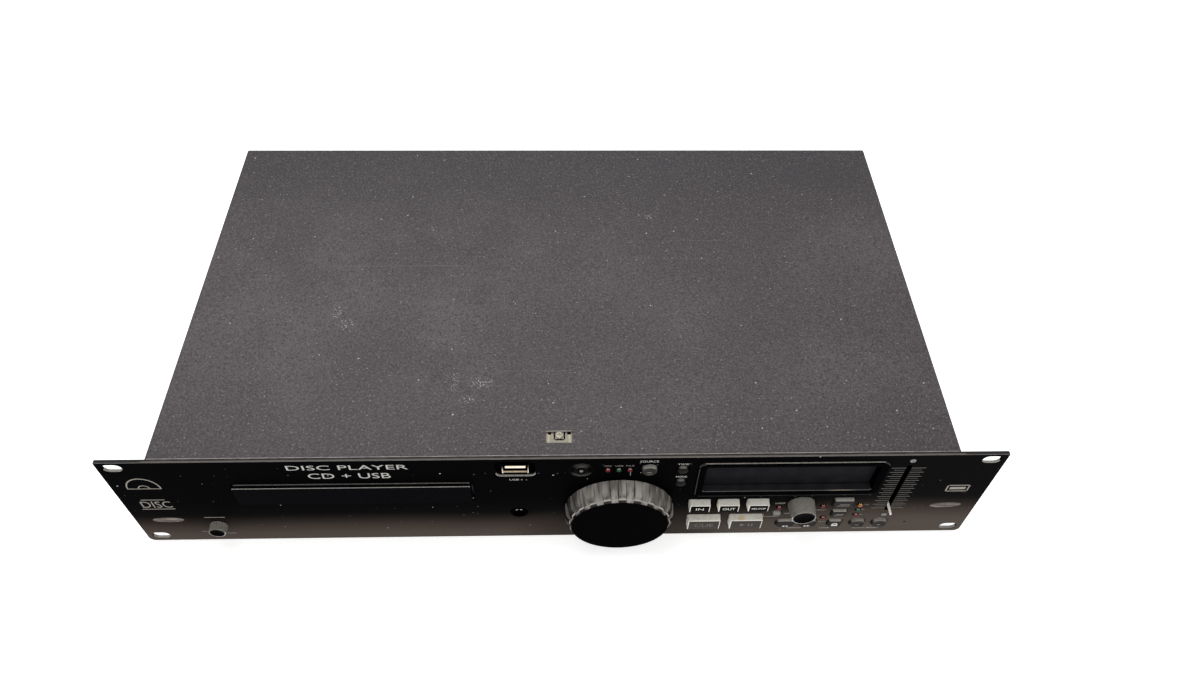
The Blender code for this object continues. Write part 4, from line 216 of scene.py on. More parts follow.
class Finish(Graph):
    """A procedural material on Object coordinates; its patterns' sizes are in millimetres."""

    def __init__(self, name, slot, colour, roughness, gloss=0.5, metallic=0.0):
        self.material = bpy.data.materials.new(name)
        self.material.use_nodes = True
        self.slot = slot
        self.nodes = self.material.node_tree.nodes
        self.links = self.material.node_tree.links
        self.shader = self.nodes["Principled BSDF"]
        self.place = self.nodes.new("ShaderNodeTexCoord").outputs["Object"]
        self.colour = seen(*colour)
        self.roughness = roughness
        self.normal = None
        for socket, value in (("Base Color", self.colour), ("Roughness", roughness),
                              ("Metallic", metallic), ("Specular IOR Level", gloss)):
            self.shader.inputs[socket].default_value = value

    def span(self, source, low, high, start=0.0, end=1.0):
        """Maps low to high smoothly onto start to end."""
        return self.smooth(source, low, high, start, end)

    def turned(self, turn=(0, 0, 0), stretch=(1, 1, 1)):
        """The piece's own place, turned and stretched for a pattern."""
        sources = {"Vector": self.place, "Rotation": turn, "Scale": stretch}
        return self.node("ShaderNodeMapping", sources).outputs[0]

    def across(self, axis):
        """Where a point lies along one axis, in metres."""
        return self.node("ShaderNodeSeparateXYZ", (self.place,)).outputs[axis]

    def around(self, centre, reach):
        """1 at a place, fading out over its reach along each axis that has one."""
        far = [self.sums("DIVIDE", self.sums("SUBTRACT", self.across(axis), middle * MM), size * MM)
               for axis, middle, size in zip("XYZ", centre, reach) if size]
        return self.span(self.sums("ADD", *(self.times(part, part) for part in far)), 1.0, 0.1)

    def grain(self, size, detail=3.0, place=None):
        """Noise, 0 to 1, whose lumps are about this size."""
        sources = {"Vector": place or self.place, "Scale": 1 / (size * MM), "Detail": detail}
        return self.node("ShaderNodeTexNoise", sources).outputs["Fac"]

    def specks(self, spacing, radius, share, colour, front=False):
        """Tints round specks of dirt of unlike size on a face that looks up, or to the front."""
        place = self.turned((-math.pi / 2, 0, 0)) if front else self.place
        sources = {"Vector": place, "Scale": 1 / (spacing * MM)}
        made = self.node("ShaderNodeTexVoronoi", sources, voronoi_dimensions="2D")
        lots = self.node("ShaderNodeSeparateColor", (made.outputs["Color"],))
        near = self.sums("LESS_THAN", made.outputs["Distance"], self.times(lots.outputs[0], radius / spacing))
        return self.tint(self.times(near, self.sums("LESS_THAN", lots.outputs[1], share)), colour)

    def facing_up(self, start, full):
        """0 to 1 as the surface turns to look up."""
        normal = self.nodes.new("ShaderNodeTexCoord").outputs["Normal"]
        return self.span(self.node("ShaderNodeSeparateXYZ", (normal,)).outputs[2], start, full)

    def dust_and_highlight(self, colour, start, full, patch, least):
        """Uneven pale dirt and a painted highlight on what looks up."""
        uneven = self.span(self.grain(patch, 4), 0.3, 0.65, least, 1.0)
        return self.tint(self.times(self.facing_up(start, full), uneven), colour)

    def tint(self, mask, colour):
        """Lays another colour over the finish where the mask is 1."""
        sources = {0: mask, 6: self.colour, 7: seen(*colour)}
        made = self.node("ShaderNodeMix", sources, data_type="RGBA", clamp_factor=True)
        self.colour = made.outputs[2]
        self.links.new(self.colour, self.shader.inputs["Base Color"])
        return self

    def mottle(self, size, detail, low, high, colour, share=1.0):
        """Lays another colour over the lumps of a noise."""
        return self.tint(self.span(self.grain(size, detail), low, high, 0.0, share), colour)

    def fade(self, axis, low, high, colour, share=1.0):
        """Lays another colour over the finish from one place along an axis to another."""
        return self.tint(self.span(self.across(axis), low * MM, high * MM, 0.0, share), colour)

    def scuff(self, mask, roughness):
        """Makes the finish rougher or smoother where the mask is 1."""
        made = self.node("ShaderNodeMix", (mask, None, self.roughness, roughness), clamp_factor=True)
        self.roughness = made.outputs[0]
        self.links.new(self.roughness, self.shader.inputs["Roughness"])
        return self

    def bump(self, height, depth):
        """Raises the surface by up to this depth."""
        sources = {"Distance": depth * MM, "Height": height, "Normal": self.normal}
        self.normal = self.node("ShaderNodeBump", sources).outputs[0]
        self.links.new(self.normal, self.shader.inputs["Normal"])
        return self


SCUFFS = (((-50, -84), (7, 3.5)), ((-58, -72), (3, 9)), ((-43, -73), (9, 5)), ((-125, -30), (7, 5)),
          ((-132, -20), (4, 8)), ((60, 60), (5, 3)))
SCRATCHES = (((-20, -70), (46, 12), 0.5), ((-110, 20), (70, 14), 2.7), ((90, 30), (60, 12), 0.2),
             ((-90, 90), (60, 12), 2.9), ((140, -60), (50, 10), 1.2))
# Painted reflection low on the panel: the height where each band starts and where it is full, in millimetres
# above its lower edge, its share and its colour.
PANEL_PAINTED_REFLECTION = ((46, 22, 0.4, (20, 18, 17)), (28, -1, 0.9, (78, 69, 63)), (8, -10, 0.9, (84, 77, 71)))
EAR_FADE = 3


def cover_paint():
    """Fine textured grey paint with haze, dirt specks, scratches and pale scuffs."""
    paint = Finish("cover paint", "grey_paint", (71, 66, 68), 0.55, 0.3)
    paint.mottle(90, 2, 0.40, 0.75, (84, 79, 81))
    haze = paint.span(paint.grain(35, 4), 0.42, 0.70, 0, 0.7)
    paint.tint(paint.times(haze, paint.around((-110, 10), (150, 130))), (88, 83, 85))
    paint.fade("Y", 10, 130, (54, 52, 55), 0.9)
    paint.fade("Y", -70, -118, (64, 60, 61), 0.7)
    paint.mottle(1.0, 2, 0.45, 0.78, (104, 97, 99))
    paint.mottle(1.2, 2, 0.55, 0.25, (53, 50, 52))
    paint.specks(4.5, 0.40, 0.30, (134, 132, 130))
    paint.specks(19, 0.50, 0.55, (172, 170, 168))
    flakes = paint.span(paint.grain(0.9, 4), 0.56, 0.66)
    for centre, reach in SCUFFS:
        paint.tint(paint.times(flakes, paint.around(centre, reach)), (176, 178, 182))
    for centre, reach, turn in SCRATCHES:
        lines = paint.grain(9, 2, paint.turned((0, 0, turn), (0.04, 9, 1)))
        thin = paint.span(lines, 0.66, 0.70, 0, 0.4)
        paint.tint(paint.times(thin, paint.around(centre, reach)), (132, 131, 131))
    shadow = paint.span(paint.around((181, 101), (36, 18)), 0.3, 0.5)
    paint.tint(paint.times(shadow, 0.35), (58, 57, 58))
    return paint.bump(paint.grain(0.9, 2), 0.10)


def panel_paint():
    """Satin black with a painted brown reflection low down, wider at the right, painted shade under the jog
    wheel, and specks of dirt.
    """
    paint = Finish("panel paint", "black_gloss", (5, 5, 6), 0.34, 0.001)
    height = paint.sums("SUBTRACT", paint.across("Z"), PANEL.low * MM)
    wave = paint.times(paint.grain(140, 1), 10 * MM)
    right = paint.span(paint.across("X"), 40 * MM, 180 * MM, 0.0, 10 * MM)
    low = paint.sums("SUBTRACT", paint.sums("SUBTRACT", height, wave), right)
    paint.fade("X", 110, 200, (18, 17, 17), 0.6)
    # Painted reflection: the satin panel lighter and browner low down, where the floor would show in it.
    for top, bottom, share, colour in PANEL_PAINTED_REFLECTION:
        paint.tint(paint.span(low, top * MM, bottom * MM, 0.0, share), colour)
    # Painted shade: the painted reflection darker under the jog wheel.
    paint.tint(paint.times(paint.around((38, 0, 6), (75, 0, 40)), 0.6), (30, 27, 25))
    paint.tint(paint.span(paint.around((205.3, 0, 12.9), (1.2, 0, 0.8)), 0.3, 0.6), (24, 12, 10))
    paint.specks(9, 0.40, 0.30, (84, 84, 86), front=True)
    paint.specks(29, 0.55, 0.60, (168, 166, 164), front=True)
    return paint.scuff(paint.grain(30, 3), 0.45)


def panel_top_paint():
    """Grey on the panel's upper edge, streaked, lighter to its front and darker out on the ears."""
    paint = Finish("panel top", "black_gloss", (44, 43, 42), 0.6, 0.05)
    streaks = paint.grain(6, 4, paint.turned(stretch=(1, 6, 6)))
    paint.tint(paint.span(streaks, 0.4, 0.7), (66, 64, 62))
    paint.fade("Y", FACE + 1.0, FACE + 0.6, (98, 94, 90))
    side = paint.sums("ABSOLUTE", paint.across("X"))
    return paint.tint(paint.span(side, COVER.right * MM, (COVER.right + EAR_FADE) * MM), (46, 45, 45))


JOG_STREAKS = ((1.2, 3, 0.12, 0.5, 0.75, 0.55, (84, 81, 77)), (1.2, 3, 0.12, 0.5, 0.25, 0.5, (164, 160, 154)),
               (4, 2, 0.04, 0.53, 0.60, 0.5, (66, 63, 60)), (4, 2, 0.04, 0.44, 0.38, 0.4, (176, 172, 166)))


def fluted_rubber():
    """Black soft plastic, grey where it looks up with pale dirt and a painted highlight, streaked along the
    flutes.
    """
    rim = Finish("jog rim", "dark_grey_plastic", (9, 9, 9), 0.6, 0.004)
    rim.dust_and_highlight((92, 89, 85), 0.15, 0.60, 5, 0.8)
    rim.dust_and_highlight((146, 142, 136), 0.55, 0.97, 5, 0.8)
    lit = rim.facing_up(0.2, 0.7)
    for size, detail, along, low, high, share, colour in JOG_STREAKS:
        streaks = rim.grain(size, detail, rim.turned(stretch=(1, along, 1)))
        rim.tint(rim.times(rim.span(streaks, low, high, 0, share), lit), colour)
    rim.fade("X", 13, 5, (30, 29, 28), 0.45)
    return rim.bump(rim.grain(0.5, 2), 0.02)


def knob_side():
    side = Finish("knob side", "dark_grey_plastic", (108, 105, 99), 0.6, 0.1)
    side.mottle(1.8, 4, 0.42, 0.7, (134, 130, 123))
    side.mottle(0.6, 2, 0.55, 0.3, (70, 67, 63), 0.85)
    # Pale dirt and a painted highlight on the side where it looks up.
    side.dust_and_highlight((142, 138, 131), 0.3, 0.95, 1.5, 0.6)
    return side.bump(side.grain(0.4, 2), 0.03)


def ivory():
    """Ivory plastic, a little dirty, with one yellow stain on top of the play button."""
    cap = Finish("ivory", "white_plastic", (238, 235, 225), 0.42, 0.3)
    cap.mottle(1.6, 4, 0.45, 0.75, (208, 204, 193), 0.6)
    stain = cap.times(cap.around((106, -126, 27), (3.0, 2.6, 6)), cap.facing_up(0.5, 0.9))
    return cap.tint(cap.times(stain, 0.55), (208, 182, 104))


def worn_and_lit_cover_edge():
    """The cover's front edge, rubbed lighter in an uneven line, with a painted highlight along it."""
    edge = Finish("cover edge", "grey_paint", (142, 134, 134), 0.5, 0.2)
    edge.mottle(8, 4, 0.35, 0.6, (174, 166, 164))
    return edge.mottle(1.2, 3, 0.62, 0.72, (190, 186, 180))


def dark_board():
    """Green board, black on everything that stands in the panel's holes."""
    board = Finish("dark board", "board", (28, 84, 48), 0.4, 0.1)
    return board.fade("Y", PANEL.back + 0.6, PANEL.back + 0.4, (3, 3, 3))


def usb_steel():
    """Steel with painted light and shade: bright on the lower half of the USB socket's shell, painted dark
    above, where it is unlit.
    """
    steel = Finish("bright steel", "steel", (248, 228, 202), 0.35, 0.5, 0.1)
    steel.mottle(1.5, 3, 0.4, 0.7, (226, 204, 176))
    middle = Box("usb_socket").middle[1]
    return steel.fade("Z", middle + 0.1, middle + 0.9, (5, 5, 5))


def worn_print():
    """The lozenges' dim print, streaked along its length."""
    marks = Finish("lozenge print", "white_plastic", (84, 77, 71), 0.6, 0.1)
    streaks = marks.grain(3, 3, marks.turned(stretch=(0.3, 1, 1.5)))
    return marks.tint(marks.span(streaks, 0.42, 0.66), (132, 122, 114))


def sill_edge():
    """The lit front edge of the sill, cream where it catches the light."""
    edge = Finish("sill edge", "display_glass", (108, 106, 106), 0.4, 0.05)
    return edge.tint(edge.around((158,), (15,)), (214, 204, 178))


def plain(name, slot, colour, roughness, gloss, lumps, metallic=0.0):
    """A moulded or metal finish with fine mottling in its colour, gloss and surface."""
    made = Finish(name, slot, colour, roughness, gloss, metallic)
    mask = made.span(made.grain(lumps, 3), 0.35, 0.75)
    made.tint(mask, [min(255, value * 1.18 + 2) for value in colour])
    made.scuff(mask, min(1.0, roughness + 0.12))
    return made.bump(made.grain(lumps / 2, 2), 0.01)


def dusty_and_lit(name, slot, base, dust_and_highlight, start, full, roughness=0.55, gloss=0.05):
    """A dark moulded finish with pale dirt and a painted highlight on what looks up."""
    made = Finish(name, slot, base, roughness, gloss)
    made.mottle(0.8, 3, 0.35, 0.8, [value * 1.25 + 2 for value in base])
    made.dust_and_highlight(dust_and_highlight, start, full, 2, 0.8)
    return made.bump(made.grain(0.4, 2), 0.015)


# By slot: name, colour, roughness, gloss, lumps and how metallic.

PLAIN = {
    "black_gloss": (
        ("black_gloss", (16, 16, 17), 0.3, 0.1, 3), ("gloss black", (1, 1, 2), 0.25, 0.001, 3),
        ("panel edge", (92, 89, 86), 0.4, 0.1, 2), ("worn edge", (146, 143, 138), 0.5, 0.3, 1.5),
        ("dull edge", (60, 58, 56), 0.5, 0.1, 1.5), ("frame line", (150, 147, 140), 0.5, 0.1, 1.5),
        ("faint line", (50, 48, 47), 0.5, 0.02, 1.5), ("slot wall", (138, 134, 130), 0.5, 0.1, 1),
        ("black screw", (34, 33, 34), 0.35, 0.5, 1, 0.4)),
    "door_gloss": (
        ("door_gloss", (14, 14, 15), 0.3, 0.1, 3), ("door", (5, 5, 7), 0.30, 0.002, 3),
        ("door sill", (108, 105, 102), 0.5, 0.1, 1.5)),
    "display_glass": (
        ("display_glass", (22, 22, 24), 0.12, 0.02, 8), ("glass", (24, 24, 26), 0.12, 0.002, 8),
        ("sill", (40, 40, 43), 0.3, 0.002, 8)),
    "black_plastic": (
        ("black_plastic", (22, 22, 23), 0.45, 0.3, 1), ("jog disc", (2, 2, 3), 0.35, 0.001, 3),
        ("knob face", (4, 4, 4), 0.35, 0.004, 1), ("black label", (10, 9, 9), 0.4, 0.005, 1)),
    "dark_grey_plastic": (
        ("dark_grey_plastic", (60, 58, 57), 0.5, 0.3, 1), ("jog wear", (150, 146, 140), 0.5, 0.2, 1.5),
        ("grey label", (58, 54, 51), 0.5, 0.03, 0.8)),
    "grey_plastic": (
        ("grey_plastic", (110, 109, 108), 0.5, 0.4, 1), ("dim print", (122, 117, 110), 0.6, 0.1, 0.5),
        ("faded print", (98, 94, 88), 0.6, 0.1, 0.5)),
    "white_plastic": (
        ("white_plastic", (200, 198, 190), 0.4, 0.5, 1), ("print", (164, 162, 157), 0.6, 0.1, 0.5),
        ("cap print", (206, 204, 198), 0.6, 0.1, 0.5), ("mark print", (132, 127, 120), 0.6, 0.1, 0.5),
        ("tick print", (94, 92, 88), 0.6, 0.1, 0.5), ("label print", (122, 117, 111), 0.6, 0.1, 0.5)),
    "natural_plastic": (
        ("natural_plastic", (205, 200, 185), 0.45, 0.5, 1), ("red plastic", (168, 30, 28), 0.4, 0.5, 1),
        ("bright white", (250, 234, 204), 0.4, 0.4, 1)),
    "yellow_zinc": (
        ("yellow_zinc", (158, 152, 138), 0.4, 0.5, 2, 0.3), ("bracket", (128, 124, 110), 0.4, 0.4, 1.2, 0.3),
        ("bracket screw", (160, 154, 140), 0.4, 0.4, 1, 0.3),
        ("bracket band", (150, 143, 126), 0.4, 0.5, 1, 0.3)),
    "fader_metal": (
        ("fader_metal", (150, 147, 138), 0.4, 0.5, 1.5, 0.9), ("blade", (255, 252, 240), 0.4, 0.5, 1.5),
        ("screw", (116, 114, 112), 0.4, 0.3, 1, 0.2)),
    "grey_paint": (
        ("grey_paint", (82, 80, 81), 0.55, 0.3, 1.1), ("window rim", (196, 190, 186), 0.5, 0.3, 1),
        ("rear edge", (104, 102, 101), 0.5, 0.3, 1.5)),
    "rubber": (("rubber", (26, 26, 26), 0.8, 0.2, 0.7),),
    "board": (("board", (28, 84, 48), 0.4, 0.5, 4),),
    "zinc": (("zinc", (176, 174, 164), 0.35, 0.5, 5, 1.0),),
    "steel": (("steel", (150, 148, 144), 0.35, 0.5, 2, 1.0),),
}
# Each: name, slot, base colour, the colour of pale dirt and painted highlight on what looks up, where that
# starts and where it is full, then roughness and gloss if given. The light tops of the buttons, the ring and
# the lenses are painted highlights.
DUSTY_AND_LIT = (
    ("dished button", "grey_plastic", (42, 40, 38), (150, 146, 139), 0.25, 0.75),
    ("dark button", "black_plastic", (30, 28, 27), (176, 171, 164), 0.45, 0.9),
    ("black button", "black_plastic", (14, 13, 13), (132, 128, 122), 0.6, 0.98),
    ("light button", "grey_plastic", (92, 90, 86), (166, 163, 157), 0.1, 0.6),
    ("jog front", "dark_grey_plastic", (14, 13, 13), (52, 50, 48), 0.25, 0.7, 0.55, 0.002),
    ("ring", "black_plastic", (7, 7, 7), (104, 101, 98), 0.35, 0.95, 0.55, 0.01),
    ("red lens", "natural_plastic", (84, 18, 20), (240, 184, 180), 0.62, 0.98, 0.25, 0.1),
    ("green lens", "natural_plastic", (24, 56, 38), (176, 208, 184), 0.62, 0.98, 0.25, 0.1),
    ("amber lens", "natural_plastic", (150, 88, 24), (250, 222, 168), 0.62, 0.98, 0.25, 0.1),
)


def looks():
    """Every finish that a piece or a CAD node takes, by name."""
    made = {"panel": panel_paint(), "panel top": panel_top_paint(), "cover": cover_paint(),
            "cover edge": worn_and_lit_cover_edge(), "jog rim": fluted_rubber(), "knob side": knob_side(),
            "ivory": ivory(), "sill edge": sill_edge(), "dark board": dark_board(),
            "lozenge print": worn_print(), "bright steel": usb_steel()}
    for given in DUSTY_AND_LIT:
        made[given[0]] = dusty_and_lit(*given)
    for slot, held in PLAIN.items():
        for name, *numbers in held:
            made[name] = plain(name, slot, *numbers)
    return made


OWN_LOOK = {"phones_socket": "gloss black", "front_board": "dark board", "fader_body": "gloss black",
            "centre_bracket": "bracket"}


def cad_finishes():
    """Every CAD node that stays takes the finish of its material slot, or its own."""
    for node, shape in nodes.items():
        look = finish[OWN_LOOK.get(node, SLOT_OF[node])]
        shape.data.materials.clear()
        shape.data.materials.append(look.material)


# Meshes built on outlines.

ALL_INSIDE = 1


def extent(loop):
    """How far an outline reaches: left, right, down and up."""
    across, up = zip(*loop)
    return min(across), max(across), min(up), max(up)


def refitted(loop, grow=0.0):
    """A coarse round, slotted or rounded outline as the smooth one that it stands for, grown if asked."""
    left, right, low, high = extent(loop)
    middle = ((left + right) / 2, (low + high) / 2)
    reach = max(abs(x - middle[0]) for x, z in loop if z > high - HAIR)
    away = [math.dist(middle, point) for point in loop]
    round_one = len(loop) > 4 and max(away) < 1.01 * min(away)
    corner = (right - left) / 2 - (0.0 if round_one else reach)
    return rectangle(middle, right - left + 2 * grow, high - low + 2 * grow, max(corner + grow, HAIR))


def face_outlines(node, level):
    """The outlines of a CAD node's flat face at this depth, the outer one first."""
    shape = bmesh.new()
    shape.from_mesh(nodes[node].data)
    shape.transform(TO_METRES.inverted())
    bmesh.ops.remove_doubles(shape, verts=shape.verts, dist=HAIR)
    flat = {face for face in shape.faces if all(abs(v.co.y - level) < HAIR * 10 for v in face.verts)}
    rim = [edge for face in flat for edge in face.edges if len(flat.intersection(edge.link_faces)) == 1]
    beside = {}
    for edge in rim:
        for here, there in (edge.verts, reversed(edge.verts)):
            beside.setdefault(here, []).append(there)
    loops = []
    while beside:
        here = next(iter(beside))
        loop = []
        while here in beside:
            loop.append((here.co.x, here.co.z))
            onward = [there for there in beside.pop(here) if there in beside]
            here = onward[0] if onward else None
        loops.append(loop)
    shape.free()
    return sorted(loops, key=lambda loop: extent(loop)[0])


def as_mesh(shape):
    """A finished bmesh as a mesh in metres, faces outwards, smooth but for its sharp edges."""
    shape.transform(TO_METRES)
    bmesh.ops.recalc_face_normals(shape, faces=shape.faces)
    mesh = bpy.data.meshes.new("mesh")
    shape.to_mesh(mesh)
    shape.free()
    mesh.polygons.foreach_set("use_smooth", [True] * len(mesh.polygons))
    mesh.set_sharp_from_angle(angle=SHARP)
    return mesh


def strip(shape, low, high, material=0):
    """Faces between two rings of as many vertices."""
    for i in range(len(low)):
        shape.faces.new((low[i - 1], low[i], high[i], high[i - 1])).material_index = material


def ring(shape, points, y):
    return [shape.verts.new((x, y, z)) for x, z in points]


def raised(levels, outline):
    """A closed solid along Y: each level is its depth and what its outline is given."""
    shape = bmesh.new()
    rings = [ring(shape, outline(size), y) for y, size in levels]
    for low, high in zip(rings, rings[1:]):
        strip(shape, low, high)
    shape.faces.new(rings[0])
    shape.faces.new(rings[-1])
    return as_mesh(shape)


def hollowed(sections):
    """A closed ring of solid: each section of its profile is a depth and the outline there."""
    shape = bmesh.new()
    rings = [ring(shape, outline, y) for y, outline in sections]
    for low, high in zip(rings, rings[1:] + rings[:1]):
        strip(shape, low, high)
    return as_mesh(shape)


def spun(levels, centre=(0, 0), steps=FINE):
    """A closed turned solid: each level is its depth and its radius."""
    return raised(levels, lambda radius: circle(centre, radius, steps))


def spun_ring(levels, centre=(0, 0), steps=FINE):
    return hollowed([(y, circle(centre, radius, steps)) for y, radius in levels])


def eased(front, grow, radius, steps=EASE_STEPS):
    """The levels of a quarter round that ends at the front, from the side inwards."""
    angles = [step / steps * math.pi / 2 for step in range(steps + 1)]
    return [(front + radius * (1 - math.sin(angle)), grow - radius * (1 - math.cos(angle)))
            for angle in angles]


def within(x, z, loop):
    """Whether a point is inside an outline."""
    crossed = [(z0 > z) != (z1 > z) and x < x0 + (z - z0) / (z1 - z0) * (x1 - x0)
               for (x0, z0), (x1, z1) in zip(loop, loop[1:] + loop[:1])]
    return sum(crossed) % 2 == 1


def filled(shape, rings):
    """Flat faces between an outer ring and the holes in it."""
    corners = [vertex for loop in rings for vertex in loop]
    outlines = [[tuple(vertex.co.xz) for vertex in loop] for loop in rings]
    sides, first = [], 0
    for loop in rings:
        sides += [(first + i, first + (i + 1) % len(loop)) for i in range(len(loop))]
        first += len(loop)
    made = delaunay_2d_cdt([vertex.co.xz for vertex in corners], sides, [], ALL_INSIDE, HAIR / 10)
    for triangle in made[2]:
        three = [corners[made[3][i][0]] for i in triangle]
        x, z = (sum(vertex.co[axis] for vertex in three) / 3 for axis in (0, 2))
        if sum(within(x, z, outline) for outline in outlines) == 1:
            shape.faces.new(three)


def plate(outlines, front, back, ease, shaper=refitted):
    """A plate whose front edges are all eased, round it and round its holes."""
    shape = bmesh.new()
    faces = [[], []]
    levels = eased(front, 0.0, ease)[::-1] + [((front + back) / 2, 0.0), (back, 0.0)]
    for number, loop in enumerate(outlines):
        fit, way = (refitted, -1) if number else (shaper, 1)
        rings = [ring(shape, fit(loop, way * grow), y) for y, grow in levels]
        for step, (low, high) in enumerate(zip(rings, rings[1:])):
            strip(shape, low, high, 1 if step < EASE_STEPS and not number else 0)
        faces[0].append(rings[0])
        faces[1].append(rings[-1])
    for loops in faces:
        filled(shape, loops)
    return as_mesh(shape)


def piece(name, meshes, *looks, body="case", replaces=(), even=False):
    """A piece of one mesh or several that moves with a body and may stand for CAD nodes.

    An even one keeps its big flat faces flat where small rounded ones meet them."""
    mesh = joined(meshes) if isinstance(meshes, list) else meshes
    mesh.name = name
    shape = placed(name, mesh)
    finishes = [finish[look] for look in looks]
    for look in finishes:
        mesh.materials.append(look.material)
    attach(shape, body)
    if replaces:
        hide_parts(*replaces)
    if even:
        shape.modifiers.new("weighted normals", "WEIGHTED_NORMAL").keep_sharp = True


def dressed(node, name, mesh, *looks):
    """The finished piece that stands for one CAD node."""
    piece(name, mesh, *looks, body=BODY_OF[node], replaces=[node], even=True)


def moved(mesh, x=0.0, y=0.0, z=0.0):
    mesh.transform(Matrix.Translation((x * MM, y * MM, z * MM)))
    return mesh


def joined(meshes):
    """Several meshes as one."""
    shape = bmesh.new()
    for mesh in meshes:
        shape.from_mesh(mesh)
    made = bpy.data.meshes.new("mesh")
    shape.to_mesh(made)
    shape.free()
    return made


def coated(mesh, index, test):
    """Gives another of the piece's finishes to faces whose middle and normal pass a test."""
    for face in mesh.polygons:
        if test(face.center / MM, face.normal):
            face.material_index = index


# Trees that grow what repeats.

SHALLOW = 0.12
FLOOR_SHARE = 0.98


class Tree(Graph):
    """A Geometry Nodes tree with named inputs, which ends in Realize Instances and Set Material."""

    def __init__(self, name, **sizes):
        self.group = bpy.data.node_groups.new(name, "GeometryNodeTree")
        sockets = self.group.interface
        sockets.new_socket("Geometry", in_out="OUTPUT", socket_type="NodeSocketGeometry")
        for label, kind in {"Geometry": "Geometry", **sizes, "finish": "Material"}.items():
            sockets.new_socket(label, in_out="INPUT", socket_type="NodeSocket" + kind)
        self.nodes, self.links = self.group.nodes, self.group.links
        self.given = self.nodes.new("NodeGroupInput").outputs

    def ended(self, geometry):
        real = self.node("GeometryNodeRealizeInstances", {"Geometry": geometry}).outputs[0]
        coat = self.node("GeometryNodeSetMaterial", {"Geometry": real, "Material": self.given["finish"]})
        self.node("NodeGroupOutput", (coat.outputs[0],))
        return self

    def grow(self, look, mesh, **sizes):
        """What the tree makes from a mesh with these sizes, in metres, as a plain mesh."""
        holder = placed("holder", mesh)
        modifier = holder.modifiers.new("tree", "NODES")
        modifier.node_group = self.group
        for socket in self.group.interface.items_tree:
            if socket.in_out == "INPUT" and socket.name in sizes:
                modifier[socket.identifier] = sizes[socket.name]
            if socket.name == "finish":
                modifier[socket.identifier] = finish[look].material
        graph = bpy.context.evaluated_depsgraph_get()
        grown = bpy.data.meshes.new_from_object(holder.evaluated_get(graph))
        holder.modifiers.remove(modifier)
        bpy.data.objects.remove(holder)
        grown.materials.clear()
        return grown


def flute_tree():
    """Presses flutes into the side of a turned piece, round an axis along Y through the origin.

    They deepen from shallow at its back over a run, and stop at the radius of their floor."""
    tree = Tree("flutes", flutes="Float", depth="Float", land="Float", wall="Float", radius="Float",
                run="Float", phase="Float")
    sums, times, given = tree.sums, tree.times, tree.given
    place = tree.node("GeometryNodeInputPosition").outputs[0]
    x, y, z = tree.node("ShaderNodeSeparateXYZ", (place,)).outputs
    angle = sums("SUBTRACT", sums("ARCTAN2", x, z), given["phase"])
    wave = sums("COSINE", times(angle, given["flutes"]))
    low = sums("SUBTRACT", given["land"], given["wall"])
    hollow = times(tree.smooth(wave, low, given["land"], 1.0, 0.0), given["depth"])
    behind = (y, 0.0, times(given["run"], -1.0), SHALLOW, 1.0)
    deep = times(hollow, tree.node("ShaderNodeMapRange", behind).outputs[0])
    floor = times(sums("SUBTRACT", given["radius"], deep), FLOOR_SHARE)
    here = sums("SQRT", sums("ADD", times(x, x), times(z, z)))
    rest = sums("ADD", floor, times(here, 1 - FLOOR_SHARE))
    keep = sums("MINIMUM", sums("DIVIDE", rest, here), 1.0)
    pressed = tree.node("ShaderNodeCombineXYZ", (times(x, keep), y, times(z, keep))).outputs[0]
    shaped = tree.node("GeometryNodeSetPosition", {"Geometry": given["Geometry"], "Position": pressed})
    return tree.ended(shaped.outputs[0])


def row_tree():
    """Repeats the given geometry in a row, each one a step from the last."""
    tree = Tree("row", count="Int", step="Vector")
    line = tree.node("GeometryNodeMeshLine", {"Count": tree.given["count"], "Offset": tree.given["step"]})
    points = {"Points": line.outputs[0], "Instance": tree.given["Geometry"]}
    return tree.ended(tree.node("GeometryNodeInstanceOnPoints", points).outputs[0])


def row(mesh, count, step):
    """A row of the same mesh."""
    step = tuple(value * MM for value in step)
    return rows.grow("print", mesh, count=count, step=step)


# Printed words and marks on the panel.

PRINT_RISE = 0.03
LETTER_SHARE = 0.70
LETTER_HALF = 0.01
LETTER_STEPS = 3


def words(text, x, z, height, width, y=FACE):
    """Lettering of this capital height, squeezed to a width, on the panel or at another depth."""
    curve = bpy.data.curves.new(text, "FONT")
    curve.body = text
    curve.align_x = "CENTER"
    curve.extrude = LETTER_HALF
    curve.resolution_u = LETTER_STEPS
    holder = placed(text, curve)
    graph = bpy.context.evaluated_depsgraph_get()
    mesh = bpy.data.meshes.new_from_object(holder.evaluated_get(graph))
    bpy.data.objects.remove(holder)
    across = [v.co.x for v in mesh.vertices]
    wide, tall = width / (max(across) - min(across)), height / LETTER_SHARE
    stand = Matrix(((wide, 0, 0, x), (0, 0, -PRINT_RISE / LETTER_HALF / 2, y),
                    (0, tall, 0, z - height / 2), (0, 0, 0, 1)))
    mesh.transform(TO_METRES @ stand)
    return mesh


def decal(outline, y=FACE):
    """A thin printed shape."""
    return raised(((y + PRINT_RISE, 0), (y - PRINT_RISE, 0)), lambda size: outline)


def bar(x, z, width, height, y=FACE):
    return decal([(x + side * width / 2, z + up * height / 2) for side, up in QUARTERS], y)


def triangle(x, z, size, y, way=1):
    """A small printed arrowhead that points right, or left."""
    back = x - way * size / 2
    return decal([(back, z - size / 2), (x + way * size / 2, z), (back, z + size / 2)], y)


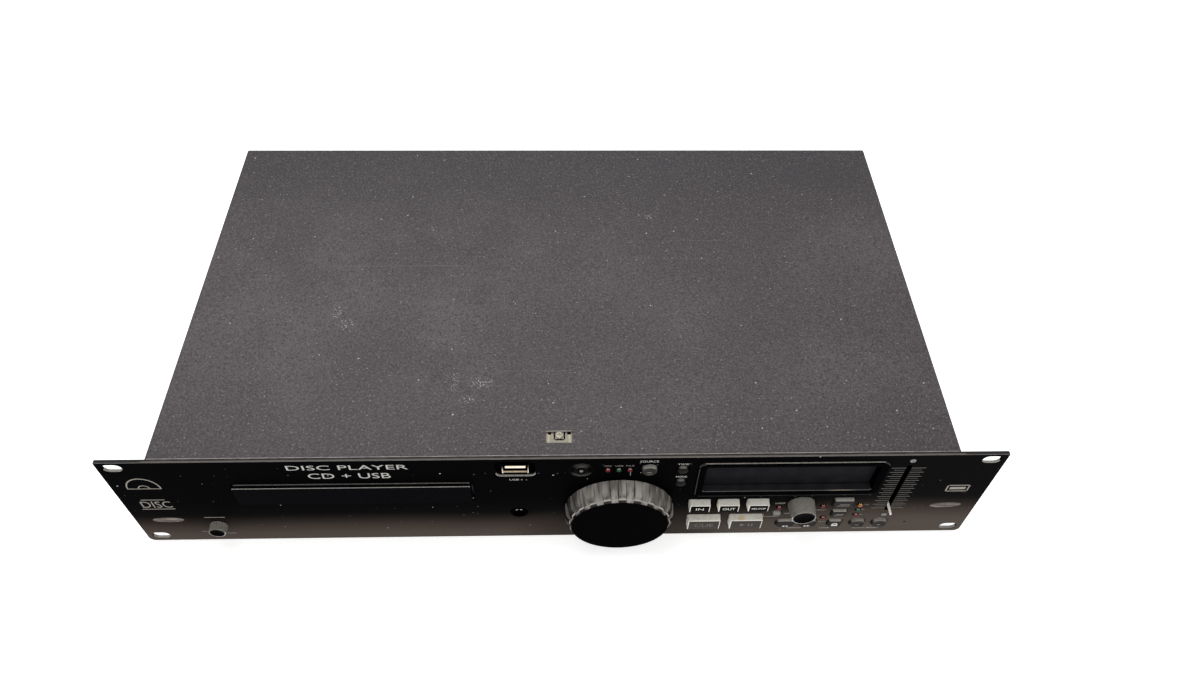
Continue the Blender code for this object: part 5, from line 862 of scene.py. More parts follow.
def printed_ring(x, z, outer, inner, start=0.0, end=math.tau, squash=1.0):
    """A printed ring, or the part of one between two angles."""
    shape = bmesh.new()
    steps = max(8, int(FINE * (end - start) / math.tau))
    whole = end - start > math.tau - 0.001
    cuts = []
    for step in range(steps if whole else steps + 1):
        angle = start + (end - start) * step / steps
        across, up = math.cos(angle), math.sin(angle) * squash
        cuts.append([shape.verts.new((x + radius * across, FACE + side * PRINT_RISE, z + radius * up))
                     for radius, side in ((inner, 1), (outer, 1), (outer, -1), (inner, -1))])
    if whole:
        cuts.append(cuts[0])
    else:
        shape.faces.new(cuts[0])
        shape.faces.new(cuts[-1])
    for low, high in zip(cuts, cuts[1:]):
        strip(shape, low, high)
    return as_mesh(shape)


# Each word: its text, place on the panel, capital height and width.

PANEL_WORDS = {("panel_words", "print"): (
    ("DISC PLAYER", -112, 81.2, 4.6, 64), ("CD + USB", -112, 72.6, 5.4, 44), ("USB", -24, 66.7, 1.6, 5.2),
    ("SOURCE", 48.6, 84.3, 1.9, 10.0), ("TIME", 67.0, 81.1, 1.5, 6.2), ("MODE", 67.0, 67.9, 1.7, 6.0),
    ("LOOP", 126.8, 36.6, 1.4, 5.6), ("+10", 132.7, 24.3, 1.4, 3.0), ("SEARCH", 140.2, 6.2, 1.3, 8.2),
    ("LOCK", 158.6, 5.6, 1.2, 6.0), ("PITCH BEND", 183.4, 5.2, 1.2, 15.0)
), ("panel_words_dim", "label print"): (
    ("DISC", -223.8, 43.4, 7.0, 16.5), ("MIN", -206.4, 10.4, 1.3, 3.6), ("MAX", -191.8, 8.1, 1.4, 5.0),
    ("DISC", 26.7, 80.0, 1.2, 4.0), ("USB", 32.6, 80.1, 1.2, 4.2), ("FILE", 38.5, 80.1, 1.2, 4.4),
    ("REPEAT", 152.0, 28.0, 1.3, 6.2), ("TEMPO", 154.9, 13.6, 1.3, 5.0), ("12%", 177.0, 34.0, 1.1, 3.0),
    ("8%", 176.6, 28.1, 1.1, 1.8), ("4%", 176.6, 22.2, 1.1, 1.8)
)}

# Each bar: its place, width and height. Each ring: its place, radii, angles and squash.

PANEL_BARS = (
    (-224, 61.0, 18.4, 0.6), (-224, 38.2, 18, 0.6), (-224, 48.6, 13, 0.6), (224.5, 55.2, 13, 0.8),
    (224.5, 48.8, 13, 0.8), (218.4, 52.0, 0.8, 7.2), (230.6, 52.0, 0.8, 7.2), (224.5, 52.0, 9.0, 2.6),
    (-196.3, 27.6, 11.8, 0.5), (39.0, 72.3, 0.35, 4.4), (-19.9, 66.6, 0.8, 0.9), (-17.4, 66.4, 0.6, 0.7),
    (122.6, 20.8, 7.0, 0.35), (119.2, 22.2, 0.35, 3.0))
PANEL_RINGS = (
    (-224, 61.4, 9.2, 8.5, 0.0, math.pi, 1.15), (-224, 61.4, 3.2, 2.6, 0.0, math.pi),
    (-48.3, 47.4, 1.1, 0.7, -math.pi / 2, 0.0))

# Each lozenge: its place, half width and tilt.

LOZENGES = ((-223, 25.2, 8.8, 0), (223.6, 32.6, 9.0, -3))
LOZENGE_HOLE = 0.3
LOZENGE_SQUASH = 0.30

# Long and short ticks: how many, left column's ends, right column's ends, top and stroke.

FADER_TICKS = ((11, (181.0, 188.8), (192.0, 199.8), 74.7, 0.46),
               (10, (182.8, 188.8), (192.0, 198.3), 72.45, 0.26))
TICK_STEP = (0, 0, -4.5)


def printing():
    tilted = []
    for x, z, half, tilt in LOZENGES:
        lozenge = printed_ring(0, 0, half, LOZENGE_HOLE, squash=LOZENGE_SQUASH)
        lozenge.transform(Matrix.Rotation(math.radians(tilt), 4, "Y"))
        across, up = at(x, z)
        tilted.append(moved(lozenge, across, 0, up))
    piece("panel_lozenges", tilted, "lozenge print")
    for (name, look), group in PANEL_WORDS.items():
        made = [words(text, *at(x, z), height, width) for text, x, z, height, width in group]
        piece(name, made, look)
    marks = [printed_ring(*at(x, z), *rest) for x, z, *rest in PANEL_RINGS]
    marks += [bar(*at(x, z), width, height) for x, z, width, height in PANEL_BARS]
    piece("panel_marks", marks, "mark print")
    ticks = []
    for count, left, right, top, stroke in FADER_TICKS:
        for start, end in (left, right):
            ticks.append(row(bar(*at((start + end) / 2, top), end - start, stroke), count, TICK_STEP))
    piece("fader_ticks", ticks, "tick print")


# Front panel.

CORNER_ABOVE = 1.0
CORNER_BELOW = 3.6
PANEL_SPREAD = 0.7
PANEL_EASE = 0.35
RACK_SHIFT = 1.0
SLOPED, UPWARD = 0.1, 0.9
USB_REACH, USB_RIM = 5, 0.5
EAR_INSET = 3
SLOT_HALF, SLOT_ENDS = 1.5, (20, 80)


def panel_outline(loop, grow):
    """The panel's outline: nearly sharp above, rounded below."""
    left, right, low, high = extent(loop)
    middle = ((left + right) / 2, (low + high) / 2)
    width, height = right - left + 2 * (PANEL_SPREAD + grow), high - low + 2 * grow
    return rectangle(middle, width, height, CORNER_ABOVE + grow, CORNER_BELOW + grow)


def shifted(loop):
    """A rack slot's outline a little further out; every other outline as it is."""
    left, right = extent(loop)[:2]
    on_ear = left * right > 0 and min(abs(left), abs(right)) > COVER.right
    way = math.copysign(RACK_SHIFT, left) if on_ear else 0.0
    return [(x + way, z) for x, z in loop]


def front_panel():
    """The panel with its upward eased edges lighter with pale dirt and a painted highlight, painted
    highlights on the USB opening's lower rim and on the rack slots' lower walls, and dark walls in the pitch
    fader's slot.
    """
    outlines = [shifted(loop) for loop in face_outlines("front_panel", FACE)]
    mesh = plate(outlines, FACE, PANEL.back, PANEL_EASE, panel_outline)
    usb, slot = Box("usb_socket"), Box("fader_lever").middle[0]
    bottom, top = (PANEL.low + end for end in SLOT_ENDS)
    # Pale dirt and a painted highlight: the upward eased edges keep the lighter panel edge, the downward ones
    # take the panel paint.
    coated(mesh, 0, lambda c, n: n.z < SLOPED)
    coated(mesh, 2, lambda c, n: n.z > UPWARD and c.z > PANEL.top - 0.1)
    # Painted highlight on the USB opening's lower rim.
    coated(mesh, 3, lambda c, n: n.z > SLOPED and c.y < FACE + 0.9 and
           usb.left - USB_REACH < c.x < usb.right + USB_REACH and
           usb.low - USB_REACH < c.z < usb.low + USB_RIM)
    # Painted highlight on the rack slots' lower walls.
    coated(mesh, 4, lambda c, n: n.z > 0.3 and abs(c.x) > COVER.right + EAR_INSET and
           c.z < PANEL.top - 1 and c.y > FACE + 0.3)
    coated(mesh, 5, lambda c, n: abs(n.y) < 0.8 and abs(c.x - slot) < SLOT_HALF and bottom < c.z < top)
    dressed("front_panel", "front_panel_plate", mesh, "panel", "panel edge", "panel top", "worn edge",
            "slot wall", "gloss black")


DOOR_EASE, DOOR_CORNER = 0.35, 0.6
DOOR_SILL = (0.3, -0.4)


def tray_door():
    door = Box("tray_door")
    behind, before = (FACE + y for y in DOOR_SILL)
    levels = [(door.back, 0), (behind, 0), (before, 0)] + eased(door.front, 0, DOOR_EASE)
    mesh = raised(levels, lambda grow: door.outline(grow, DOOR_CORNER))
    # Painted highlights, with pale dirt on the front edge: the door's upward eased front edge, and its top
    # face where it leaves the panel.
    coated(mesh, 1, lambda c, n: n.z > 0.2 and c.y < door.front + DOOR_EASE + 0.01)
    coated(mesh, 2, lambda c, n: n.z > UPWARD and before < c.y < behind)
    dressed("tray_door", "tray_door_front", mesh, "door", "worn edge", "door sill")


# Jog wheel and knobs.

JOG_FLUTES = 21
JOG_FLOOR = 27.1
JOG_BACK = ((0, 0.5), (0.2, 0.1), (0.5, 0.0))
JOG_CREST = ((2.0, 0.0), (3.5, 0.05), (5.0, 0.15), (6.2, 0.3), (7.3, 0.5), (8.2, 0.85), (8.9, 1.3),
             (9.3, 1.65))
JOG_FRONT = ((9.55, 2.0), (10.2, 2.45), (10.9, 2.95), (11.5, 3.4), (12.0, 3.7))
JOG_SHOULDER = -10.2
JOG_PHASE = math.radians(1.0)
JOG_SHARP = math.radians(32)
JOG_LAND, JOG_WALL = 0.22, 0.30
JOG_DISC_GAP, JOG_DISC_EDGE, JOG_DISC_DEEP = 0.15, 0.3, 2.5
TRACK_BASE, TRACK_TIP, TRACK_EASE = 7.75, 6.9, 0.45
LEVEL_BASE, LEVEL_TIP, LEVEL_EASE, LEVEL_RIBS, LEVEL_RIB = 5.4, 4.8, 0.4, 20, 0.45
KNOB_CHAMFER, KNOB_FOOT = 0.3, 0.12
KNOB_LIP, KNOB_DIP, KNOB_DISH, KNOB_HUB = 0.25, (0.3, 0.6), (0.9, 0.55), (1.1, 0.4)
KNOB_FACE, KNOB_LOW = 1.6, 0.2
RIB_STEPS, RIB_LAND, RIB_WALL, RIB_RUN, RIB_STAND = 12, 0.3, 0.8, 0.5, 0.2


def jog_wheel():
    """The rim with its flutes and rounded crest, and the disc in its middle."""
    rim, face = Box("jog_rim"), Box("jog_face")
    (x, z), radius, disc, depth = face.middle, rim.wide / 2, face.wide / 2, rim.deep
    hollow = disc + JOG_DISC_GAP
    levels = [(0, hollow + 1.2)] + [(-run, radius - sink) for run, sink in JOG_BACK + JOG_CREST + JOG_FRONT]
    levels += [(-depth, hollow + 0.1), (-depth + 0.2, hollow), (-depth + 3.0, hollow)]
    mesh = spun_ring(levels, steps=JOG_FLUTES * 36)
    mesh = flutes.grow("jog rim", mesh, flutes=float(JOG_FLUTES), land=JOG_LAND, wall=JOG_WALL,
                       depth=(radius - JOG_FLOOR) * MM, radius=radius * MM, run=depth * MM, phase=JOG_PHASE)
    mesh.set_sharp_from_angle(angle=JOG_SHARP)
    coated(mesh, 2, lambda c, n: n.y < -0.3 and c.y < JOG_SHOULDER)
    # Rubbed wear and a painted highlight where the ridges round over to the front.
    coated(mesh, 1, lambda c, n: n.y < -0.2 and JOG_SHOULDER > c.y > JOG_SHOULDER - 0.6)
    dressed("jog_rim", "jog_rim_fluted", moved(mesh, x, rim.back, z), "jog rim", "jog wear", "jog front")
    levels = [(face.front + JOG_DISC_DEEP, disc)] + eased(face.front, disc, JOG_DISC_EDGE)
    dressed("jog_face", "jog_disc", spun(levels, (x, z)), "jog disc")


def knob(node, name, base, tip, ease, ribs=0, rib=0.0):
    """A knob on its shaft, ribbed if asked, with a dark dished face and a painted highlight on its lower rim.
    """
    box = Box(node)
    depth = box.deep
    levels = [(0, base - KNOB_CHAMFER), (-KNOB_CHAMFER, base), (-depth * KNOB_FOOT, base)]
    levels += [(y - depth, size) for y, size in eased(0, tip, ease)]
    levels += [(-depth, tip - ease - KNOB_LIP), (KNOB_DIP[0] - depth, tip - ease - KNOB_DIP[1]),
               (KNOB_DISH[0] - depth, tip * KNOB_DISH[1]), (KNOB_HUB[0] - depth, KNOB_HUB[1])]
    mesh = spun(levels, steps=ribs * RIB_STEPS or FINE)
    if ribs:
        mesh = flutes.grow("knob side", mesh, flutes=float(ribs), depth=rib * MM, land=RIB_LAND,
                           wall=RIB_WALL, radius=(tip + RIB_STAND) * MM, run=RIB_RUN * MM, phase=0.0)
    inner = tip - ease * KNOB_FACE
    coated(mesh, 1, lambda c, n: c.y < -depth / 2 and math.hypot(c.x, c.z) < inner)
    # Painted highlight on the lower rim of the face.
    coated(mesh, 2, lambda c, n: c.y < -depth / 2 and c.z < tip * KNOB_LOW and n.y < -0.2 and
           inner < math.hypot(c.x, c.z) < tip)
    moved(mesh, box.middle[0], box.back, box.middle[1])
    dressed(node, name, mesh, "knob side", "knob face", "worn edge")


# Buttons.

FLANGE = 0.7
ROUND = 9
LABEL_MARGIN, LABEL_LOW, LABEL_SINK, LABEL_CORNER = 0.80, 0.45, 0.05, 0.25
LABELS = (("in_button", "IN", 2.4, 4.4), ("out_button", "OUT", 2.4, 7.2),
          ("reloop_button", "RELOOP", 1.7, 8.0))
DISH_STEPS = (0.9, 0.75, 0.5, 0.2)
RECESS = 6.4
RECESS_RING = ((0.2, 0.15), (-0.25, 0.35), (-0.35, 0.1), (-0.25, -0.2), (0.9, -0.35), (0.9, -1.3),
               (-0.1, -1.5), (-0.15, -1.8), (0.2, -2.0))
DOME = ((0.1, 1.0), (-0.2, 0.9), (-0.4, 0.6), (-0.45, 0.2))


def button(node, look, corner, soft, taper=0.2, dish=0.0):
    """A rounded button: its side tapers, its front edge is soft and its face may be dished or domed.

    Gives the middle, half width, half height and front of its face."""
    cap = Box(node)
    middle, across, up, front = cap.middle, cap.wide / 2 - FLANGE, cap.tall / 2 - FLANGE, cap.front
    levels = [(PANEL.back, 0), (FACE, 0)] + eased(front, -taper, soft)
    inner = min(across, up) - taper - soft
    if dish:
        levels += [(front + dish * (1 - share * share), -taper - soft - inner * (1 - share))
                   for share in DISH_STEPS]
    mesh = raised(levels, lambda grow: rectangle(
        middle, 2 * (across + grow), 2 * (up + grow), max(corner + grow, 0.2)))
    dressed(node, node + "_cap", mesh, look)
    return middle, across, up, front


def on_button(node, name, look, *meshes):
    """Marks on a button."""
    piece(node + name, list(meshes), look, body=BODY_OF[node])


def labelled_cap(node, label, top_frame):
    """An ivory cap with an inset label that reaches its lower edge; gives the label's middle and front."""
    middle, across, up, front = button(node, "ivory", 0.9, 0.35, 0.35)
    across, top, low, inset = across - LABEL_MARGIN, up - top_frame, up - LABEL_LOW, front - LABEL_SINK
    spot = (middle[0], middle[1] + (top - low) / 2)
    mesh = raised([(front + 0.2, 0)] + eased(inset, 0, 0.04, 2), lambda grow: rectangle(
        spot, 2 * (across + grow), top + low + 2 * grow, LABEL_CORNER))
    on_button(node, "_label", label, mesh)
    return spot, inset


def ivory_buttons():
    for node, text, tall, wide in LABELS:
        spot, inset = labelled_cap(node, "black label", 0.7)
        on_button(node, "_word", "cap print", words(text, *spot, tall, wide, inset))
    spot, inset = labelled_cap("cue_button", "grey label", 0.9)
    on_button("cue_button", "_word", "faded print", words("CUE", *spot, 3.6, 11, inset))
    (x, z), inset = labelled_cap("play_pause_button", "grey label", 0.9)
    on_button("play_pause_button", "_sign", "faded print", triangle(x - 1.8, z, 3.0, inset),
              bar(x + 1.6, z, 0.8, 3.0, inset), bar(x + 3.6, z, 0.8, 3.0, inset))


def grey_buttons():
    for node in ("bank_upper_button", "bank_lower_button"):
        (x, z), across, up, front = button(node, "dark button", 1.2, 0.9)
        on_button(node, "_lines", "dim print", bar(x + 0.6, z + 0.3, across, 0.5, front),
                  bar(x, z - 1.2, across * 1.2, 0.5, front))
    (x, z), across, up, front = button("lock_button", "dark button", 2.0, 0.9)
    shackle = printed_ring(x, z - 0.2, 1.7, 1.1, 0.0, math.pi)
    on_button("lock_button", "_sign", "cap print", moved(shackle, 0, front - FACE),
              bar(x, z - 1.2, 3.6, 1.5, front))
    for node, way in (("search_back_button", -1), ("search_forward_button", 1)):
        (x, z), across, up, front = button(node, "dark button", 3.6, 0.8)
        on_button(node, "_sign", "cap print",
                  *(triangle(x + shift, z - 2.0, 1.7, front, way) for shift in (-1.0, 0.9)))
    for node in ("bend_minus_button", "bend_plus_button", "source_button"):
        (x, z), across, up, front = button(node, "dished button", ROUND, 0.5, dish=0.9)
        upright = [bar(x, z - 1.6, 0.6, 1.8, front + 0.5)] if node == "bend_plus_button" else []
        on_button(node, "_sign", "dim print", bar(x, z - 1.6, 2.4, 0.6, front + 0.5), *upright)
    for node, look in (("time_button", "black button"), ("mode_button", "black button"),
                       ("plus_button", "light button")):
        button(node, look, ROUND, 0.5, dish=-0.4)


def open_close():
    """The round open and close button in its ringed recess, with a small light dome."""
    box = Box("open_close_button")
    centre, front = box.middle, box.front
    edges = [(PANEL.back, RECESS + RECESS_RING[i][1]) for i in (0, -1)]
    levels = edges[:1] + [(FACE + y, RECESS + grow) for y, grow in RECESS_RING] + edges[1:]
    piece("open_close_ring", spun_ring(levels, centre), "ring", even=True)
    button("open_close_button", "ring", ROUND, 0.4)
    dome = spun([(front + y, radius) for y, radius in DOME], centre, 32)
    piece("open_close_dome", dome, "dim print", body=BODY_OF["open_close_button"])


# Lights: each one's colour and its place as shares of the panel.

LIGHTS = (("red", 0.0554, 0.8661), ("green", 0.0676, 0.8661), ("red", 0.0799, 0.8661),
          ("red", 0.2631, 0.3655), ("red", 0.3154, 0.3757), ("red", 0.3214, 0.2157),
          ("amber", 0.3598, 0.3859), ("green", 0.3600, 0.3190), ("red", 0.3600, 0.2520))
LENS_RADIUS = 1.4
LENS_COLLAR = 1.85
LENS_DOME = 0.9
LENS_TURNS = (0.3, 0.6, 0.9, 1.2, 1.45)
LENS_NECK = 0.5


def lights():
    """Coloured lenses over the lamps on the front board."""
    levels = [(PANEL.back, LENS_COLLAR), (FACE + 0.1, LENS_COLLAR), (FACE + 0.1, LENS_RADIUS),
              (FACE - LENS_NECK, LENS_RADIUS)]
    levels += [(FACE - LENS_NECK - LENS_DOME * math.sin(angle), LENS_RADIUS * math.cos(angle))
               for angle in LENS_TURNS]
    for number, (colour, across, up) in enumerate(LIGHTS):
        mesh = spun(levels, at(across * PANEL.wide, up * PANEL.tall), 40)
        coated(mesh, 1, lambda c, n: c.y > FACE + 0.05)
        piece(f"{colour}_lens_{number + 1}", mesh, colour + " lens", "gloss black")


# Sockets.

USB_LIT = 1.3
USB_CORNER, USB_WALL = 0.9, 0.35
USB_GAP = (9, 7)
TONGUE, TONGUE_RISE, TONGUE_EASE = (11.0, 2.4), 0.8, 0.25
NOSE, BORE, BORE_DEEP = 4.6, 3.2, 9


def usb_socket():
    """The socket's steel shell with its mouth rolled, its white tongue, and the dark gap round it."""
    usb = Box("usb_socket")
    (x, z), half, mouth, back = usb.middle, usb.wide / 2, usb.front, usb.back
    lit, behind = mouth + USB_LIT, PANEL.back + 0.4

    def shell(grow):
        return usb.outline(grow, USB_CORNER + grow)

    gap, inside = usb.outline(0, USB_CORNER, *USB_GAP), shell(-USB_WALL)
    piece("usb_surround", hollowed([(behind, gap), (behind + 0.5, gap), (behind + 0.5, shell(0.05)),
                                    (behind, shell(0.05))]), "gloss black")
    mesh = hollowed([(back, shell(0)), (mouth + 0.4, shell(0)), (mouth, shell(0.1)),
                     (mouth + 0.05, shell(-0.1)), (mouth + 0.3, inside), (lit, inside), (back, inside)])
    # Painted shade: the shell's upper part, its inner walls, the floor behind the lit strip and the lower
    # lip's front take gloss black.
    coated(mesh, 1, lambda c, n: c.z > z + 0.6 or
           lit < c.y < back - HAIR and n.z < 0.99 and abs(c.x - x) < half - 0.2 or
           lit < c.y and n.z > 0.5 and c.z < z or
           c.y < mouth + 0.4 and n.z < 0.9 and abs(c.x - x) < half - 0.5 and c.z < z)
    dressed("usb_socket", "usb_shell", mesh, "bright steel", "gloss black")
    wide, tall = TONGUE
    mesh = raised([(back, 0)] + eased(mouth + 1.0, 0, TONGUE_EASE), lambda grow: rectangle(
        (x, z + TONGUE_RISE), wide + 2 * grow, tall + 2 * grow, 0.3))
    piece("usb_tongue", mesh, "bright white", even=True)
    piece("usb_back", raised([(back, -0.36), (back - 0.6, -0.36)], shell), "black_plastic")


def phones_socket():
    """The black nose of the headphone socket round its bore."""
    socket = Box("phones_socket")
    (x, z), front = socket.middle, socket.front - 0.3
    levels = [(PANEL.back, NOSE - 0.1), (FACE, NOSE), (front + 0.1, NOSE - 0.1), (front, NOSE - 0.5),
              (front + 0.2, NOSE - 0.8), (front + 0.9, BORE), (front + BORE_DEEP, BORE),
              (front + BORE_DEEP, NOSE - 0.2)]
    mesh = spun_ring(levels, (x, z))

    def away(c):
        return math.hypot(c.x - x, c.z - z)

    coated(mesh, 2, lambda c, n: c.y < FACE and n.y < -0.2 and away(c) > NOSE - 0.25)
    # Painted highlights: two light arcs on top of the nose.
    coated(mesh, 1, lambda c, n: c.y < FACE and c.z > z and 0.7 < abs(c.x - x) < 1.8 and away(c) > NOSE - 0.4)
    piece("phones_nose", mesh, "gloss black", "worn edge", "faint line", even=True)
    levels = [(front + BORE_DEEP - rise, BORE + 0.2) for rise in (0.5, 0.8)]
    piece("phones_bore_end", spun(levels, (x, z)), "gloss black")


# Screws: each head's radius and height.

FADER_SCREW = (1.65, 0.5)
BRACKET_SCREW = (2.35, 1.0)
SHEET_SCREW = (2.8, 1.1)
HEAD = ((0.0, 1.0), (0.25, 1.0), (0.65, 0.93), (0.9, 0.78), (1.0, 0.60))
HEAD_STEPS = 32
CROSS_MOUTH, CROSS_FLOOR, CROSS_RISE = (0.52, 0.12), (0.36, 0.08), 0.35
FADER_SCREW_HIGH, FADER_SCREW_STEP, FADER_SCREW_SUNK = 82.6, (0, 0, -60.5), 0.1
WINDOW_MIDDLE, BRACKET_SCREW_BEHIND = 0.7, 16.4
LYING = Matrix.Rotation(math.radians(-90), 4, "X")


def cross(out, half):
    """A cross outline about the origin."""
    return [(half, half), (half, out), (-half, out), (-half, half), (-out, half), (-out, -half),
            (-half, -half), (-half, -out), (half, -out), (half, -half), (out, -half), (out, half)]


def screw_head(radius, height):
    """A domed head with a cross recess, at the origin, facing the front."""
    shape = bmesh.new()
    rings = [ring(shape, circle((0, 0), radius * share, HEAD_STEPS), -height * rise)
             for rise, share in HEAD]
    for low, high in zip(rings, rings[1:]):
        strip(shape, low, high)
    shape.faces.new(rings[0])
    mouth = ring(shape, cross(*(radius * share for share in CROSS_MOUTH)), -height)
    floor = ring(shape, cross(*(radius * share for share in CROSS_FLOOR)), -height * CROSS_RISE)
    filled(shape, [rings[-1], mouth])
    strip(shape, mouth, floor)
    filled(shape, [floor])
    return as_mesh(shape)


def front_screws():
    """The screws that hold the fader, and the one in the cover's window."""
    x, z = at(Box("fader_body").middle[0], FADER_SCREW_HIGH)
    heads = row(moved(screw_head(*FADER_SCREW), x, FACE - FADER_SCREW_SUNK, z), 2, FADER_SCREW_STEP)
    holders = [node for node in nodes if node.startswith("fader_screw")]
    piece("fader_screw_heads", heads, "screw", replaces=holders)
    lying = screw_head(*BRACKET_SCREW)
    lying.transform(LYING)
    moved(lying, WINDOW_MIDDLE, FACE + BRACKET_SCREW_BEHIND, Box("centre_bracket").top)
    piece("bracket_screw_head", lying, "bracket screw")


# Marks on the bracket in the window: name, finish, height, and each one's place, width and depth.

BRACKET_MARKS = (
    ("bracket_grooves", "gloss black", 0.05,
     ((WINDOW_MIDDLE - 2.75, 16.2, 0.75, 4.6), (WINDOW_MIDDLE + 2.75, 16.2, 0.75, 4.6),
      (WINDOW_MIDDLE, 13.7, 4.8, 0.8))),
    ("bracket_notches", "gloss black", 0.06, ((-4.6, 17.7, 1.7, 1.5), (5.9, 17.7, 2.0, 1.5))),
    ("bracket_bands", "bracket band", 0.03, ((-5.2, 14.9, 1.0, 6.9), (6.3, 14.9, 1.3, 6.9))))


def slab(x, y, width, depth, low, high):
    """A small flat lying block about a place behind the face."""
    shape = bmesh.new()
    rings = [[shape.verts.new((x + side * width / 2, FACE + y + up * depth / 2, z)) for side, up in QUARTERS]
             for z in (low, high)]
    strip(shape, *rings)
    for loop in rings:
        shape.faces.new(loop)
    return as_mesh(shape)


def cover_window():
    """Grooves and notches drawn as gloss black slabs of painted shade, and bands, on the bracket under the
    cover's window.
    """
    top = Box("centre_bracket").top
    for name, look, high, listed in BRACKET_MARKS:
        piece(name, [slab(*place, top, top + high) for place in listed], look)


# Folded cover. Its window: middle across, middle behind the face, width and depth.

SHEET = 1.0
COVER_BEND = 1.5
BEND_STEPS = 8
COVER_LINE = 0.75
COVER_SPREAD = 1.0
COVER_EASE = ((0.0, 0.30), (0.08, 0.12), (0.30, 0.0))
COVER_BACK_EASE = (0.3, 0.2)
WINDOW = (0.482, 14.6, 14.2, 7.6)


def folded_cover():
    """The cover as one folded sheet, with soft bends, an eased front edge and its window."""
    side, top, front, back = COVER.right + COVER_SPREAD, COVER.top, COVER.front, COVER.back
    x, y, wide, deep = WINDOW
    near, far = FACE + y - deep / 2, FACE + y + deep / 2
    bend_x, bend_z = side - COVER_BEND, top - COVER_BEND
    edge = [((side, COVER.low), (1, 0)), ((side, bend_z), (1, 0))]
    for step in range(1, BEND_STEPS):
        angle = step / BEND_STEPS * math.pi / 2
        nx, nz = math.cos(angle), math.sin(angle)
        edge.append(((bend_x + COVER_BEND * nx, bend_z + COVER_BEND * nz), (nx, nz)))
    edge.append(((bend_x, top), (0, 1)))
    mirrored = [((-px, pz), (-nx, nz)) for (px, pz), (nx, nz) in reversed(edge)]
    profile = edge + [((x + wide / 2, top), (0, 1)), ((x - wide / 2, top), (0, 1))] + mirrored
    run, sunk = COVER_BACK_EASE
    depths = [(front + run, sink) for run, sink in COVER_EASE]
    depths += [(front + COVER_LINE, 0), (near, 0), (far, 0), (back - run, 0), (back, sunk)]
    window = (len(edge), len(COVER_EASE) + 1)
    flat = {i for i, (place, normal) in enumerate(profile) if normal[1] == 1}
    shape = bmesh.new()

    def sheet(side_lift, lift):
        return [[shape.verts.new((px - nx * (side_lift + sink), dy, pz - nz * (lift + sink)))
                 for dy, sink in depths] for (px, pz), (nx, nz) in profile]

    skins = outer, inner = sheet(0.0, 0.0), sheet(SHEET + COVER_SPREAD, SHEET)
    for i in range(len(profile) - 1):
        for k in range(len(depths) - 1):
            cells = [(skin[i][k], skin[i + 1][k], skin[i + 1][k + 1], skin[i][k + 1]) for skin in skins]
            if (i, k) == window:
                strip(shape, *cells, 1)
                continue
            for cell in cells:
                # The eased front edge on top takes the lighter edge finish: rubbed wear and a painted
                # highlight.
                worn = cell is cells[0] and k < len(COVER_EASE) and {i, i + 1} <= flat
                shape.faces.new(cell).material_index = 1 if worn else 0
        for k in (0, -1):
            shape.faces.new((outer[i][k], outer[i + 1][k], inner[i + 1][k], inner[i][k]))
    for k in range(len(depths) - 1):
        for i in (0, -1):
            shape.faces.new((outer[i][k], outer[i][k + 1], inner[i][k + 1], inner[i][k]))
    mesh = as_mesh(shape)
    # Painted highlight on the window's far wall, which faces the front.
    coated(mesh, 2, lambda c, n: n.y < -0.9 and abs(c.y - far) < HAIR)
    dressed("top_cover", "cover_sheet", mesh, "cover", "cover edge", "window rim")


# Pitch fader and display.

BLADE_LEFT, BLADE_HIGH = 0.6, 2.35
BLADE = ((6, 0.45, 1.1), (-1.0, 0.45, 1.1), (-5.9, 0.40, 1.05), (-6.4, 0.32, 0.9), (-6.6, 0.15, 0.7))
DISPLAY_LIP, DISPLAY_CORNER, DISPLAY_EASE, DISPLAY_RIM = 1.2, 4.0, 0.35, 0.6
OPENING_CORNER = 1.2
OPENING = ((0.0, 0.6), (0.15, 0.25), (0.5, 0.1), (1.3, 0))
GLASS_CORNER, GLASS_EASE = 0.5, 0.3


def fader():
    """The bright blade of the pitch fader."""
    lever = Box("fader_lever")
    middle = (lever.middle[0] - BLADE_LEFT, lever.low + BLADE_HIGH)
    mesh = raised([(FACE + y, (wide, tall)) for y, wide, tall in BLADE],
                  lambda half: rectangle(middle, 2 * half[0], 2 * half[1], 0.3))
    dressed("fader_lever", "fader_blade", mesh, "blade")


